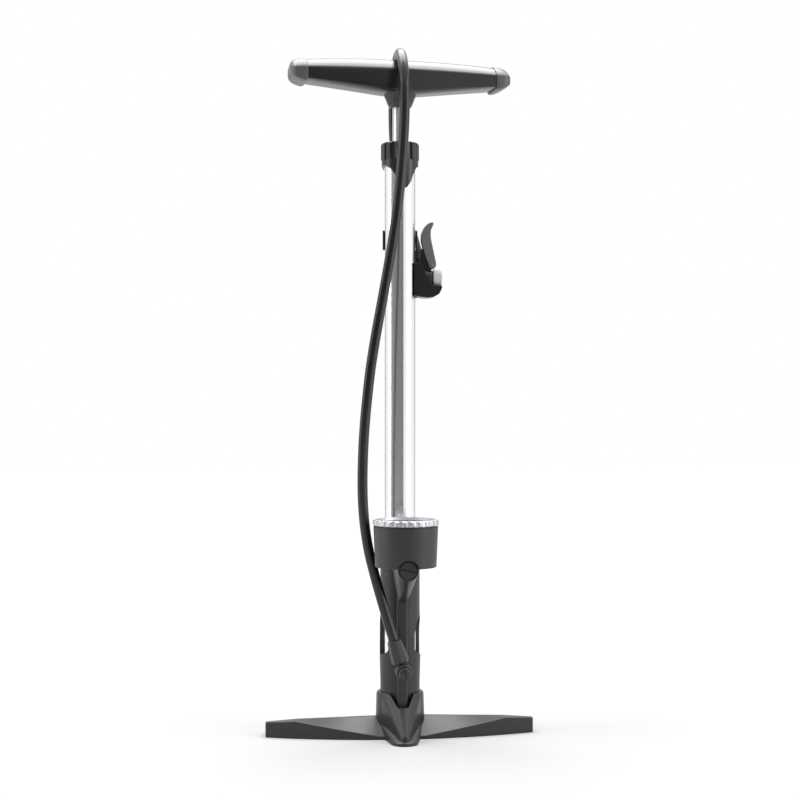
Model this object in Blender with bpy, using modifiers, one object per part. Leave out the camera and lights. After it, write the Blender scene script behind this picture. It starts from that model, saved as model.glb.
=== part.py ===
"""A bicycle floor pump: foot, barrel in its sleeve, base gauge, hose, head and T handle.

Every separate piece is its own object. Metres, +Z up. The origin is on the floor, on the axis of the barrel,
and the front of the pump, with the gauge and the hose, faces -Y.
"""

import math

import bmesh
import bpy
from mathutils import Matrix, Vector

CLEARANCE = 0.0003  # gap between pieces that touch
FACETS = 24  # around the large turned pieces
SMALL_FACETS = 16
INNER_FACETS = 12

# Barrel, sleeve and foot
BARREL_RADIUS = 0.0147
BARREL_WALL = 0.0015
BARREL_TOP = 0.541
SLEEVE_WALL = 0.0035
SLEEVE_TOP = 0.186
SLEEVE_SWELL = 0.0008  # how far the sleeve bulges at its waist
SOCKET_FLOOR = 0.010  # thickness of the foot under the sleeve
COLLAR_WALL = 0.0032
COLLAR_TOP = 0.041

FOOT_SPAN = 0.252
FOOT_FRONT = 0.0255  # front edge of the wings beside the nose
FOOT_TIP_FRONT = 0.004
FOOT_REAR = 0.024
FOOT_TIP_REAR = 0.017
FOOT_RIDGE_HEIGHT = 0.020
FOOT_PEAK_HEIGHT = 0.018  # where the tread's front edge meets the ridge
FOOT_TIP_HEIGHT = 0.0155
FOOT_PEAK = 0.78  # that place, as a share of the wing
FOOT_LIP = 0.0028  # height of the tread's front edge beside the nose
NOSE_REACH = 0.057
TAIL_REACH = 0.050
FOOT_TRIM = 0.001  # the foot's pieces run this far below the floor and are trimmed there together
POCKET_DEPTH = 0.006

# Rib, pod and gauge
RIB_WIDTH = 0.010
RIB_DEPTH = 0.006  # how far the rib stands proud of the sleeve
RIB_FOOT = 0.012
RIB_TOP = 0.127
AIR_BORE = 0.002
POD_RADIUS = 0.0094
POD_HEIGHT = 0.1615
POD_RECESS = 0.006  # the pod's face lies this far behind the gauge's front
GAUGE_RADIUS = 0.0294
GAUGE_DRAFT = 0.0015
GAUGE_WALL = 0.002
GAUGE_GAP = 0.0071
GAUGE_BOTTOM = 0.163
GAUGE_RIM = 0.2005
GAUGE_TOP = 0.206
DIAL_HEIGHT = 0.194
BEZEL_RIBS = 26
NEEDLE_LENGTH = 0.0195
NEEDLE_START = math.radians(225)  # the zero mark, counted from +X

# Hose fitting on the rib
FITTING_HEIGHT = 0.0645
FITTING_RADIUS = 0.0076
FITTING_DEPTH = 0.019
FITTING_BOLT_RADIUS = 0.0024
BOOT_LEAN = math.radians(-17.5)
BOOT_START = 0.0083
BOOT_END = 0.0303
BOOT_RADIUS = 0.0084
BOOT_TIP_RADIUS = 0.0068
BOOT_FACETS = 8

# Cap on the barrel
CAP_RADIUS = 0.018
CAP_HEIGHT = 0.015
CAP_LOBES = 14
COLLAR_SKIRT = 0.0055
TONGUE_LENGTH = 0.0295

# Rod, piston and handle
ROD_RADIUS = 0.0072
ROD_WALL = 0.0015
PISTON_BOTTOM = 0.0385
PISTON_HEIGHT = 0.018
HANDLE_LENGTH = 0.2105
HANDLE_TURN = math.radians(7.7)  # the handle rests turned a little against the foot
HANDLE_RISE = 0.047  # from the barrel's top to the handle's socket, with the rod pushed in
HANDLE_SOCKET_DEPTH = 0.012  # how far the socket hangs below the bar
HANDLE_END_RISE = 0.009  # how much higher the bar's underside is at its ends
HANDLE_FACE = 0.021  # height of the upright front face
HANDLE_CROWN = 0.0122  # how far the crown stands above that face
HANDLE_HALF_DEPTH = 0.017
HANDLE_CAP_LENGTH = 0.0155

# Clip and head
CLIP_WALL = 0.0023
CLIP_BOTTOM = 0.409
CLIP_TOP = 0.473
CLIP_BAND = 0.018  # height of the band that goes round the barrel
CLIP_TAPER = 0.001  # how much thinner the band is at its left end
CLIP_MOUTH = math.radians(12)  # each arm stops this far in front of the side of the barrel
NOZZLE_HEIGHT = 0.4287
NOZZLE_NUT_RADIUS = 0.008
LEVER_LEAN = math.radians(-13)
LEVER_HALF_WIDTH = 0.0052
LEVER_WALL = 0.0016

HOSE_RADIUS = 0.0047
HOSE_STEP = 0.0208  # between the points of its route, about two diameters
ARCH_GAP = 0.0013  # air between the handle's crown and the hose that hooks over it
ARCH_RADIUS = 0.0412

# What follows from the sizes above
SLEEVE_BORE = BARREL_RADIUS + CLEARANCE
SLEEVE_RADIUS = SLEEVE_BORE + SLEEVE_WALL
SOCKET_RADIUS = SLEEVE_RADIUS + CLEARANCE
COLLAR_RADIUS = SOCKET_RADIUS + COLLAR_WALL
BARREL_BORE = BARREL_RADIUS - BARREL_WALL
FOOT_PLUG_FLANGE = SOCKET_FLOOR + 0.010
BARREL_BOTTOM = FOOT_PLUG_FLANGE + CLEARANCE
RIB_FACE = SLEEVE_RADIUS + RIB_DEPTH
GAUGE_FORWARD = SLEEVE_RADIUS + GAUGE_GAP + GAUGE_RADIUS
POD_FACE = GAUGE_FORWARD + GAUGE_RADIUS - POD_RECESS
CLIP_RADIUS = BARREL_RADIUS + CLEARANCE + CLIP_WALL
ROD_BORE = ROD_RADIUS - ROD_WALL
PISTON_TOP = PISTON_BOTTOM + PISTON_HEIGHT
HALF_SPAN = FOOT_SPAN / 2
HANDLE_SOCKET_BOTTOM = BARREL_TOP + HANDLE_RISE
HANDLE_BOTTOM = HANDLE_SOCKET_BOTTOM + HANDLE_SOCKET_DEPTH
HANDLE_END_BOTTOM = HANDLE_BOTTOM + HANDLE_END_RISE
HANDLE_EDGE = HANDLE_BOTTOM + HANDLE_FACE
HANDLE_CREST = HANDLE_EDGE + HANDLE_CROWN
ARCH_HEIGHT = HANDLE_CREST + ARCH_GAP + HOSE_RADIUS


# ---------------------------------------------------------------- tools


def clear_scene():
    for obj in list(bpy.data.objects):
        bpy.data.objects.remove(obj, do_unlink=True)


def collection(name):
    made = bpy.data.collections.new(name)
    bpy.context.scene.collection.children.link(made)
    return made


def look(name, colour, roughness, metallic=0.0):
    """A Principled material of the piece's own colour and finish."""
    made = bpy.data.materials.new(name)
    made.use_nodes = True
    shader = made.node_tree.nodes["Principled BSDF"]
    shader.inputs["Base Color"].default_value = (*colour, 1.0)
    shader.inputs["Roughness"].default_value = roughness
    shader.inputs["Metallic"].default_value = metallic
    return made


def put(name, data, material=None, parent=None, location=(0, 0, 0), rotation=(0, 0, 0)):
    """Links an object to the pump or, where it has no material, to the helpers."""
    obj = bpy.data.objects.new(name, data)
    obj.parent = parent
    obj.location = location
    obj.rotation_euler = rotation
    if material is None:
        HELPERS.objects.link(obj)
        obj.hide_render = True
        obj.display_type = "WIRE"
    else:
        PUMP.objects.link(obj)
        data.materials.append(material)
    return obj


def shaded(mesh):
    mesh.shade_smooth()
    mesh.set_sharp_from_angle(angle=math.radians(35))
    return mesh


def from_bmesh(name, bm, material=None, **where):
    bmesh.ops.recalc_face_normals(bm, faces=bm.faces)
    mesh = bpy.data.meshes.new(name)
    bm.to_mesh(mesh)
    bm.free()
    return put(name, shaded(mesh), material, **where)


def turned(name, profile, material=None, ring=False, steps=FACETS, **where):
    """A turned piece. Its profile is (radius, height) pairs down the outer side, closed for a ring."""
    mesh = bpy.data.meshes.new(name)
    edges = [(i, i + 1) for i in range(len(profile) - 1)]
    if ring:
        edges.append((len(profile) - 1, 0))
    mesh.from_pydata([(radius, 0, height) for radius, height in profile], edges, [])
    obj = put(name, mesh, material, **where)
    screw = obj.modifiers.new("Turn", "SCREW")
    screw.steps = screw.render_steps = steps
    screw.use_merge_vertices = True
    screw.merge_threshold = 1e-6
    screw.use_smooth_shade = True
    return obj


def bar_profile(radius, bottom, top, chamfer=0.0):
    """The profile of a solid bar, with its ends chamfered."""
    if not chamfer:
        return [(0, top), (radius, top), (radius, bottom), (0, bottom)]
    return [
        (0, top),
        (radius - chamfer, top),
        (radius, top - chamfer),
        (radius, bottom + chamfer),
        (radius - chamfer, bottom),
        (0, bottom),
    ]


def ring_profile(bore, radius, bottom, top, chamfer=0.0):
    """The profile of a ring, with its outer edges chamfered."""
    outside = bar_profile(radius, bottom, top, chamfer)[1:-1]
    return [(bore, top), *outside, (bore, bottom)]


def torus(name, major, minor, material, steps=INNER_FACETS, **where):
    """A seal ring around the local Z axis."""
    sides = 5
    profile = [
        (
            major + minor * math.cos(-math.tau * i / sides),
            minor * math.sin(-math.tau * i / sides),
        )
        for i in range(sides)
    ]
    return turned(name, profile, material, ring=True, steps=steps, **where)


def plate(name, outline, thickness, material=None, **where):
    """A flat outline in the local XY plane, half its thickness to either side."""
    flat = bpy.data.curves.new(name, "CURVE")
    flat.dimensions = "2D"
    flat.fill_mode = "BOTH"
    flat.extrude = thickness / 2
    spline = flat.splines.new("POLY")
    spline.points.add(len(outline) - 1)
    for point, (x, y) in zip(spline.points, outline):
        point.co = (x, y, 0, 1)
    spline.use_cyclic_u = True
    guide = bpy.data.objects.new(name, flat)
    HELPERS.objects.link(guide)
    mesh = bpy.data.meshes.new_from_object(guide.evaluated_get(bpy.context.evaluated_depsgraph_get()))
    bpy.data.objects.remove(guide, do_unlink=True)
    bm = bmesh.new()
    bm.from_mesh(mesh)
    bmesh.ops.remove_doubles(bm, verts=bm.verts, dist=1e-6)
    bmesh.ops.dissolve_limit(bm, angle_limit=math.radians(0.1), verts=bm.verts, edges=bm.edges)
    bpy.data.meshes.remove(mesh)
    return from_bmesh(name, bm, material, **where)


UPRIGHT = (math.pi / 2, 0, 0)  # turns a plate's local Y up and its thickness along Y
SIDEWAYS = (math.pi / 2, 0, math.pi / 2)  # local X goes back along Y, local Y up, thickness along X
FORWARD = (math.pi / 2, 0, 0)  # turns a turned piece's +Z to the front, -Y
TO_THE_RIGHT = (0, math.pi / 2, 0)  # turns a turned piece's +Z to +X


def block(name, low, high, material=None, **where):
    bm = bmesh.new()
    size = [b - a for a, b in zip(low, high)]
    centre = [(a + b) / 2 for a, b in zip(low, high)]
    bmesh.ops.create_cube(bm, size=1, matrix=Matrix.Translation(centre) @ Matrix.Diagonal((*size, 1)))
    return from_bmesh(name, bm, material, **where)


def cylinder(name, radius, start, end, material=None, far_radius=None, facets=SMALL_FACETS, **where):
    """A cylinder or a cone between two points."""
    start, end = Vector(start), Vector(end)
    axis = end - start
    turn = axis.to_track_quat("Z", "Y").to_matrix().to_4x4() @ Matrix.Rotation(0.05, 4, "Z")
    bm = bmesh.new()
    bmesh.ops.create_cone(
        bm,
        cap_ends=True,
        segments=facets,
        radius1=radius,
        radius2=radius if far_radius is None else far_radius,
        depth=axis.length,
        matrix=Matrix.Translation((start + end) / 2) @ turn,
    )
    return from_bmesh(name, bm, material, **where)


def circle(radius, centre, facets=SMALL_FACETS, facing="Z"):
    """Points around a circle that lies square to the axis named."""
    points = []
    for i in range(facets):
        a, b = (radius * f(math.tau * i / facets) for f in (math.cos, math.sin))
        points.append(Vector(centre) + Vector((a, 0, b) if facing == "Y" else (a, b, 0)))
    return points


def hull(name, points, material=None, **where):
    """The smallest convex solid around the points."""
    bm = bmesh.new()
    for point in points:
        bm.verts.new(point)
    made = bmesh.ops.convex_hull(bm, input=bm.verts)
    spare = [v for v in made["geom_interior"] + made["geom_unused"] if isinstance(v, bmesh.types.BMVert)]
    bmesh.ops.delete(bm, geom=list(set(spare)), context="VERTS")
    bmesh.ops.dissolve_limit(bm, angle_limit=math.radians(0.5), verts=bm.verts, edges=bm.edges)
    bmesh.ops.triangulate(bm, faces=bm.faces)
    return from_bmesh(name, bm, material, **where)


def loft(name, sections, material=None, open_start=False, **where):
    """Skins sections of equal point counts, each a closed loop of 3-D points."""
    bm = bmesh.new()
    loops = [[bm.verts.new(point) for point in section] for section in sections]
    for near, far in zip(loops, loops[1:]):
        for i in range(len(near)):
            j = (i + 1) % len(near)
            bm.faces.new((near[i], near[j], far[j], far[i]))
    bm.faces.new(loops[-1])
    if not open_start:
        bm.faces.new(list(reversed(loops[0])))
    return from_bmesh(name, bm, material, **where)


def mirrored(obj):
    """Completes a half that is open at X = 0."""
    mirror = obj.modifiers.new("Mirror", "MIRROR")
    mirror.merge_threshold = 1e-5
    return obj


def bevelled(obj, width, segments=2, angle=25):
    bevel = obj.modifiers.new("Round", "BEVEL")
    bevel.width = width
    bevel.segments = segments
    bevel.limit_method = "ANGLE"
    bevel.angle_limit = math.radians(angle)
    bevel.use_clamp_overlap = True
    return obj


def combine(obj, operation, *others):
    for other in others:
        boolean = obj.modifiers.new(f"{operation.title()} {other.name}", "BOOLEAN")
        boolean.operation = operation
        boolean.solver = "EXACT"
        boolean.object = other
    return obj


def join(obj, *others):
    return combine(obj, "UNION", *others)


def cut(obj, *others):
    return combine(obj, "DIFFERENCE", *others)


def smooth_route(points, step):
    """Points about a step apart on a smooth curve through the route's own points (Catmull-Rom)."""
    points = [Vector(point) for point in points]
    ends = [2 * points[0] - points[1], *points, 2 * points[-1] - points[-2]]
    fine = []
    for a, b, c, d in zip(ends, ends[1:], ends[2:], ends[3:]):
        for i in range(40):
            t = i / 40
            fine.append(
                0.5
                * (2 * b + (c - a) * t + (2 * a - 5 * b + 4 * c - d) * t**2 + (3 * b - 3 * c + d - a) * t**3)
            )
    fine.append(points[-1])
    lengths = [0.0]
    for a, b in zip(fine, fine[1:]):
        lengths.append(lengths[-1] + (b - a).length)
    spans = round(lengths[-1] / step)
    route, at = [], 0
    for i in range(spans + 1):
        wanted = lengths[-1] * i / spans
        while at < len(fine) - 2 and lengths[at + 1] < wanted:
            at += 1
        share = (wanted - lengths[at]) / (lengths[at + 1] - lengths[at])
        route.append(fine[at].lerp(fine[at + 1], share))
    return route


def tube(name, route, radius, material, resolution=2, **where):
    """A round wire or hose along a polyline."""
    wire = bpy.data.curves.new(name, "CURVE")
    wire.dimensions = "3D"
    wire.bevel_depth = radius
    wire.bevel_resolution = resolution
    wire.use_fill_caps = True
    spline = wire.splines.new("POLY")
    spline.points.add(len(route) - 1)
    for point, place in zip(spline.points, route):
        point.co = (*place, 1)
    return put(name, wire, material, **where)


def least_gap(route, radius, apart):
    """The least gap of a round wire to itself, between stretches that lie at least so many spans apart."""
    points = []
    for a, b in zip(map(Vector, route), map(Vector, route[1:])):
        points += [a.lerp(b, i / 4) for i in range(4)]
    far = 4 * apart
    return min(
        (point - other).length - 2 * radius for i, point in enumerate(points) for other in points[i + far :]
    )


# ---------------------------------------------------------------- foot


def foot_front(share):
    """How far the wing's front edge lies in front of the axis, at a share of the wing."""
    return FOOT_FRONT - (FOOT_FRONT - FOOT_TIP_FRONT) * share**1.9


def foot_rear(share):
    return FOOT_REAR - (FOOT_REAR - FOOT_TIP_REAR) * share**2


def foot_heights(share):
    """Heights of the wing's front edge, ridge and rear edge: the tread twists from a slope to a flat tip."""
    nose_share = COLLAR_RADIUS / HALF_SPAN
    if share < FOOT_PEAK:
        along = max(0.0, (share - nose_share) / (FOOT_PEAK - nose_share))
        front = FOOT_LIP + (FOOT_PEAK_HEIGHT - FOOT_LIP) * along
        ridge = FOOT_RIDGE_HEIGHT - (FOOT_RIDGE_HEIGHT - FOOT_PEAK_HEIGHT) * share / FOOT_PEAK
    else:
        along = (share - FOOT_PEAK) / (1 - FOOT_PEAK)
        front = ridge = FOOT_PEAK_HEIGHT - (FOOT_PEAK_HEIGHT - FOOT_TIP_HEIGHT) * along
    return front, ridge, 0.6 * ridge


def wing_section(share):
    front, rear = foot_front(share), foot_rear(share)
    front_height, ridge_height, rear_height = foot_heights(share)
    x = share * HALF_SPAN
    return [
        (x, -front, -FOOT_TRIM / 2),
        (x, rear, -FOOT_TRIM / 2),
        (x, rear, rear_height),
        (x, 0.001, ridge_height),
        (x, -0.001, ridge_height),
        (x, -front, front_height),
    ]


def nose_parts():
    """The tongue that runs down from the collar, the wider skirt under it, and the tail behind."""
    tongue_radius, skirt_radius, tail_radius = (COLLAR_RADIUS - less for less in (0.0004, 0.0008, 0.0012))
    toe = -NOSE_REACH + 0.0070
    tongue = hull(
        "nose_tongue",
        circle(tongue_radius, (0, 0, COLLAR_TOP - 0.0012), FACETS)
        + circle(tongue_radius, (0, 0, -2 * FOOT_TRIM), FACETS)
        + circle(0.0045, (0, toe, 0.0075), 16)
        + circle(0.0045, (0, toe - 0.0010, -2 * FOOT_TRIM), 16),
    )
    toe = -NOSE_REACH + 0.0125
    skirt = hull(
        "nose_skirt",
        circle(skirt_radius, (0, 0, -1.5 * FOOT_TRIM), FACETS - 2)
        + circle(skirt_radius, (0, 0, 0.0130), FACETS - 2)
        + circle(0.0125, (0, toe, -1.5 * FOOT_TRIM), SMALL_FACETS)
        + circle(0.0115, (0, toe, 0.0035), SMALL_FACETS),
    )
    toe = TAIL_REACH - 0.014
    tail = hull(
        "tail",
        circle(tail_radius, (0, 0, -FOOT_TRIM), FACETS - 6)
        + circle(tail_radius, (0, 0, 0.0260), FACETS - 6)
        + circle(0.0140, (0, toe, -FOOT_TRIM), SMALL_FACETS)
        + circle(0.0125, (0, toe, 0.0050), SMALL_FACETS),
    )
    return tongue, skirt, tail


def wing_pockets():
    """Recesses under the wings, which leave ribs between them."""
    pockets = []
    for side in (-1, 1):
        for number, (inner, outer) in enumerate(((0.26, 0.44), (0.47, 0.64), (0.67, 0.82))):
            front = foot_front(outer) - 0.006 if number else 0.009
            xs = sorted((side * inner * HALF_SPAN, side * outer * HALF_SPAN))
            pockets.append(
                block(
                    f"pocket_{'left' if side < 0 else 'right'}_{number}",
                    (xs[0], -front, -0.001),
                    (xs[1], foot_rear(outer) - 0.006, POCKET_DEPTH),
                )
            )
    return pockets


SCREW_CIRCLE = 0.0098
SCREW_SHANK = 0.0018
SCREW_HEAD = 0.0034
SCREW_HEAD_HEIGHT = 0.0024
SCREW_LENGTH = 0.0155
SCREW_RECESS = 0.0040


def screw_places():
    for angle in (90, 210, 330):
        a = math.radians(angle)
        yield SCREW_CIRCLE * math.cos(a), SCREW_CIRCLE * math.sin(a)


def make_foot(black):
    shares = (0, COLLAR_RADIUS / HALF_SPAN, 0.35, 0.5, 0.64, FOOT_PEAK, 0.9, 1.0)
    foot = loft("foot", [wing_section(share) for share in shares], black, open_start=True)
    mirrored(foot)
    bevelled(foot, 0.0012)
    collar = turned(
        "collar",
        [
            (0, COLLAR_TOP),
            (COLLAR_RADIUS - 0.0012, COLLAR_TOP),
            (COLLAR_RADIUS - 0.0003, COLLAR_TOP - 0.0006),
            (COLLAR_RADIUS + 0.0002, COLLAR_TOP - 0.0025),
            (COLLAR_RADIUS + 0.0008, 0.018),
            (COLLAR_RADIUS + 0.0012, -0.7 * FOOT_TRIM),
            (0, -0.7 * FOOT_TRIM),
        ],
    )
    join(foot, collar, *nose_parts())
    rib_slot = block(
        "rib_slot",
        (-RIB_WIDTH / 2 - CLEARANCE, -RIB_FACE - CLEARANCE, RIB_FOOT - CLEARANCE),
        (RIB_WIDTH / 2 + CLEARANCE, 0, COLLAR_TOP + 0.02),
    )
    dip = plate(
        "collar_dip",
        [
            (-0.0050, 0.0300),
            (0.0050, 0.0300),
            (0.0125, COLLAR_TOP + 0.002),
            (-0.0125, COLLAR_TOP + 0.002),
        ],
        0.04,
        location=(0, -0.034, 0),
        rotation=UPRIGHT,
    )
    socket = cylinder("socket", SOCKET_RADIUS, (0, 0, SOCKET_FLOOR), (0, 0, 0.06), facets=FACETS)
    floor = block("floor", (-HALF_SPAN - 0.01, -0.08, -0.02), (HALF_SPAN + 0.01, 0.08, 0))
    cut(foot, socket, rib_slot, dip, floor, *wing_pockets())
    for number, (x, y) in enumerate(screw_places(), 1):
        bore = turned(
            f"screw_bore_{number}",
            [
                (0, SOCKET_FLOOR + 0.002),
                (SCREW_SHANK + CLEARANCE, SOCKET_FLOOR + 0.002),
                (SCREW_SHANK + CLEARANCE, SCREW_RECESS),
                (SCREW_HEAD + CLEARANCE, SCREW_RECESS),
                (SCREW_HEAD + CLEARANCE, -0.001),
                (0, -0.001),
            ],
            steps=INNER_FACETS,
            location=(x, y, 0),
        )
        cut(foot, bore)
    return foot


def make_foot_screws(steel):
    """Pan-head screws that hold the barrel's plug down on the foot, each with its own node."""
    top = SCREW_RECESS - CLEARANCE
    for number, (x, y) in enumerate(screw_places(), 1):
        turned(
            f"foot_screw_{number}",
            [
                (0, top + SCREW_LENGTH - 0.004),
                (SCREW_SHANK * 0.6, top + SCREW_LENGTH - 0.004),
                (SCREW_SHANK, top + SCREW_LENGTH - 0.0055),
                (SCREW_SHANK, top),
                (SCREW_HEAD, top),
                (SCREW_HEAD, top - SCREW_HEAD_HEIGHT * 0.6),
                (SCREW_HEAD * 0.7, top - SCREW_HEAD_HEIGHT),
                (0, top - SCREW_HEAD_HEIGHT),
            ],
            steel,
            steps=INNER_FACETS,
            location=(x, y, 0),
        )


# ---------------------------------------------------------------- sleeve with rib and pod


def window_outline():
    """One side window, seen from the side: a leaf with a slanted foot and a pointed top. (back, up)"""
    return [
        (0.0045, 0.0730),
        (0.0050, 0.0900),
        (0.0040, 0.1000),
        (0.0005, 0.1080),
        (-0.0055, 0.1130),
        (-0.0115, 0.1080),
        (-0.0145, 0.0980),
        (-0.0148, 0.0790),
    ]


def make_sleeve(black):
    rounding = 0.0015
    sleeve = turned(
        "sleeve",
        [
            (0, SLEEVE_TOP),
            (SLEEVE_RADIUS - rounding, SLEEVE_TOP),
            (SLEEVE_RADIUS - 0.3 * rounding, SLEEVE_TOP - 0.3 * rounding),
            (SLEEVE_RADIUS, SLEEVE_TOP - rounding),
            (SLEEVE_RADIUS, 0.125),
            (SLEEVE_RADIUS + 0.6 * SLEEVE_SWELL, 0.105),
            (SLEEVE_RADIUS + SLEEVE_SWELL, 0.084),
            (SLEEVE_RADIUS + 0.6 * SLEEVE_SWELL, 0.064),
            (SLEEVE_RADIUS, 0.045),
            (SLEEVE_RADIUS, SOCKET_FLOOR + CLEARANCE),
            (0, SOCKET_FLOOR + CLEARANCE),
        ],
        black,
    )
    half = RIB_WIDTH / 2
    round_rib = 0.0022
    rib = plate(
        "rib",
        [
            (-half, -0.012),
            (-half, -RIB_FACE + round_rib),
            (-half + 0.3 * round_rib, -RIB_FACE + 0.3 * round_rib),
            (-half + round_rib, -RIB_FACE),
            (half - round_rib, -RIB_FACE),
            (half - 0.3 * round_rib, -RIB_FACE + 0.3 * round_rib),
            (half, -RIB_FACE + round_rib),
            (half, -0.012),
        ],
        RIB_TOP + 0.004 - RIB_FOOT,
        location=(0, 0, (RIB_TOP + 0.004 + RIB_FOOT) / 2),
    )
    pod_edge = 0.0008
    pod = hull(
        "pod",
        circle(POD_RADIUS - pod_edge, (0, -POD_FACE, POD_HEIGHT), SMALL_FACETS, "Y")
        + circle(POD_RADIUS, (0, -POD_FACE + pod_edge, POD_HEIGHT), SMALL_FACETS, "Y")
        + circle(POD_RADIUS, (0, -0.012, POD_HEIGHT), SMALL_FACETS, "Y")
        + [Vector((x, y, RIB_TOP)) for x in (-half + 0.001, half - 0.001) for y in (-0.012, -RIB_FACE)],
    )
    saddle = block(
        "saddle",
        (-0.011, -SLEEVE_RADIUS - GAUGE_GAP - 0.004, GAUGE_BOTTOM + 0.006),
        (0.011, -0.010, SLEEVE_TOP - 0.004),
    )
    cut(
        saddle,
        cylinder(
            "housing_room",
            GAUGE_RADIUS + CLEARANCE,
            (0, -GAUGE_FORWARD, GAUGE_BOTTOM - 0.002),
            (0, -GAUGE_FORWARD, GAUGE_RIM + 0.01),
            facets=FACETS,
        ),
    )
    join(sleeve, rib, pod, saddle)
    window = plate(
        "windows", window_outline(), 4 * SLEEVE_RADIUS, location=(0, 0, 0), rotation=SIDEWAYS
    )
    channel = RIB_FACE - 0.0045  # how far in front of the barrel's axis the air channel runs
    bores = [
        cylinder("barrel_bore", SLEEVE_BORE, (0, 0, 0), (0, 0, 0.3), facets=FACETS),
        cylinder("plug_room", 0.0084, (0, -POD_FACE - 0.01, POD_HEIGHT), (0, -POD_FACE + 0.004, POD_HEIGHT)),
        cylinder("shank_room", 0.0047, (0, -POD_FACE, POD_HEIGHT), (0, -POD_FACE + 0.0190, POD_HEIGHT)),
        cylinder(
            "pod_air", AIR_BORE, (0, -POD_FACE + 0.01, POD_HEIGHT), (0, -channel - 0.001, POD_HEIGHT), facets=10
        ),
        cylinder("rib_air", AIR_BORE, (0, -channel, 0.0145), (0, -channel, POD_HEIGHT), facets=10),
        cylinder("foot_port", 0.0015, (0, -channel, 0.0165), (0, 0, 0.0165), facets=10),
        cylinder(
            "fitting_port",
            FITTING_BOLT_RADIUS + CLEARANCE,
            (0, -RIB_FACE - 0.002, FITTING_HEIGHT),
            (0, -RIB_FACE + 0.0045, FITTING_HEIGHT),
            facets=16,
        ),
        cylinder(
            "stem_bore",
            0.0043,
            (0, -GAUGE_FORWARD, POD_HEIGHT),
            (0, -GAUGE_FORWARD, POD_HEIGHT + 0.02),
            facets=16,
        ),
    ]
    return cut(sleeve, window, *bores)


# ---------------------------------------------------------------- barrel and its valve plug

VALVE_CHAMBER = 0.0036
VALVE_SEAT = 0.0018
VALVE_BALL = 0.0028
PLUG_TOP = 0.036
SEAT_HEIGHT = 0.0320
PLUG_SEAL_HEIGHT = 0.0265
SEAL_MINOR = 0.0009


def sealed_plug_profile(bottom, top, seal_height, radius, chamfer):
    """The outer side of a plug, top to bottom, with a groove for a seal ring."""
    groove = 2 * SEAL_MINOR + CLEARANCE
    half = SEAL_MINOR + CLEARANCE
    return [
        (radius - chamfer, top),
        (radius, top - chamfer),
        (radius, seal_height + half),
        (radius - groove, seal_height + half),
        (radius - groove, seal_height - half),
        (radius, seal_height - half),
        (radius, bottom),
    ]


def make_barrel(silver):
    return turned(
        "barrel",
        ring_profile(BARREL_BORE, BARREL_RADIUS, BARREL_BOTTOM, BARREL_TOP, 0.0004),
        silver,
        ring=True,
    )


def make_barrel_foot(brass, black_rubber, steel):
    radius = BARREL_BORE - CLEARANCE
    plug = turned(
        "barrel_foot",
        [
            (VALVE_SEAT, PLUG_TOP),
            *sealed_plug_profile(FOOT_PLUG_FLANGE, PLUG_TOP, PLUG_SEAL_HEIGHT, radius, 0.001),
            (BARREL_RADIUS - 0.0002, FOOT_PLUG_FLANGE),
            (BARREL_RADIUS - 0.0002, SOCKET_FLOOR + CLEARANCE),
            (VALVE_CHAMBER, SOCKET_FLOOR + CLEARANCE),
            (VALVE_CHAMBER, SEAT_HEIGHT - (VALVE_CHAMBER - VALVE_SEAT)),
            (VALVE_SEAT, SEAT_HEIGHT),
        ],
        brass,
        ring=True,
        steps=INNER_FACETS,
    )
    cut(
        plug,
        cylinder("side_port", 0.0015, (0, 0, 0.0165), (0, -0.02, 0.0165), facets=12),
        *(
            cylinder(
                f"thread_{number}",
                SCREW_SHANK + CLEARANCE,
                (x, y, 0.005),
                (x, y, SCREW_RECESS + SCREW_LENGTH - 0.0025),
                facets=16,
            )
            for number, (x, y) in enumerate(screw_places(), 1)
        ),
    )
    torus(
        "barrel_foot_seal",
        radius - SEAL_MINOR,
        SEAL_MINOR,
        black_rubber,
        location=(0, 0, PLUG_SEAL_HEIGHT),
    )
    ball_height = SEAT_HEIGHT - math.sqrt(2) * VALVE_BALL + VALVE_SEAT - 0.0002
    bm = bmesh.new()
    bmesh.ops.create_icosphere(bm, subdivisions=2, radius=VALVE_BALL)
    from_bmesh("check_ball", bm, steel, location=(0, 0, ball_height))
    plug_top = SOCKET_FLOOR + 0.0035
    turned(
        "check_plug",
        bar_profile(VALVE_CHAMBER - CLEARANCE, SOCKET_FLOOR + CLEARANCE, plug_top, 0.0003),
        brass,
        steps=16,
    )
    wire, coil, turns, per_turn = 0.00035, 0.0022, 5, 6
    low = plug_top + CLEARANCE + wire
    high = ball_height - VALVE_BALL - 0.0002 - wire
    route = []
    for i in range(turns * per_turn + 1):
        angle = math.tau * i / per_turn
        height = low + (high - low) * i / (turns * per_turn)
        route.append((coil * math.cos(angle), coil * math.sin(angle), height))
    tube("check_spring", route, wire, steel, resolution=1)
    gap = least_gap(route, wire, per_turn // 2)
    print(f"check spring: least gap to itself {1000 * gap:.2f} mm")


# ---------------------------------------------------------------- gauge


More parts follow.
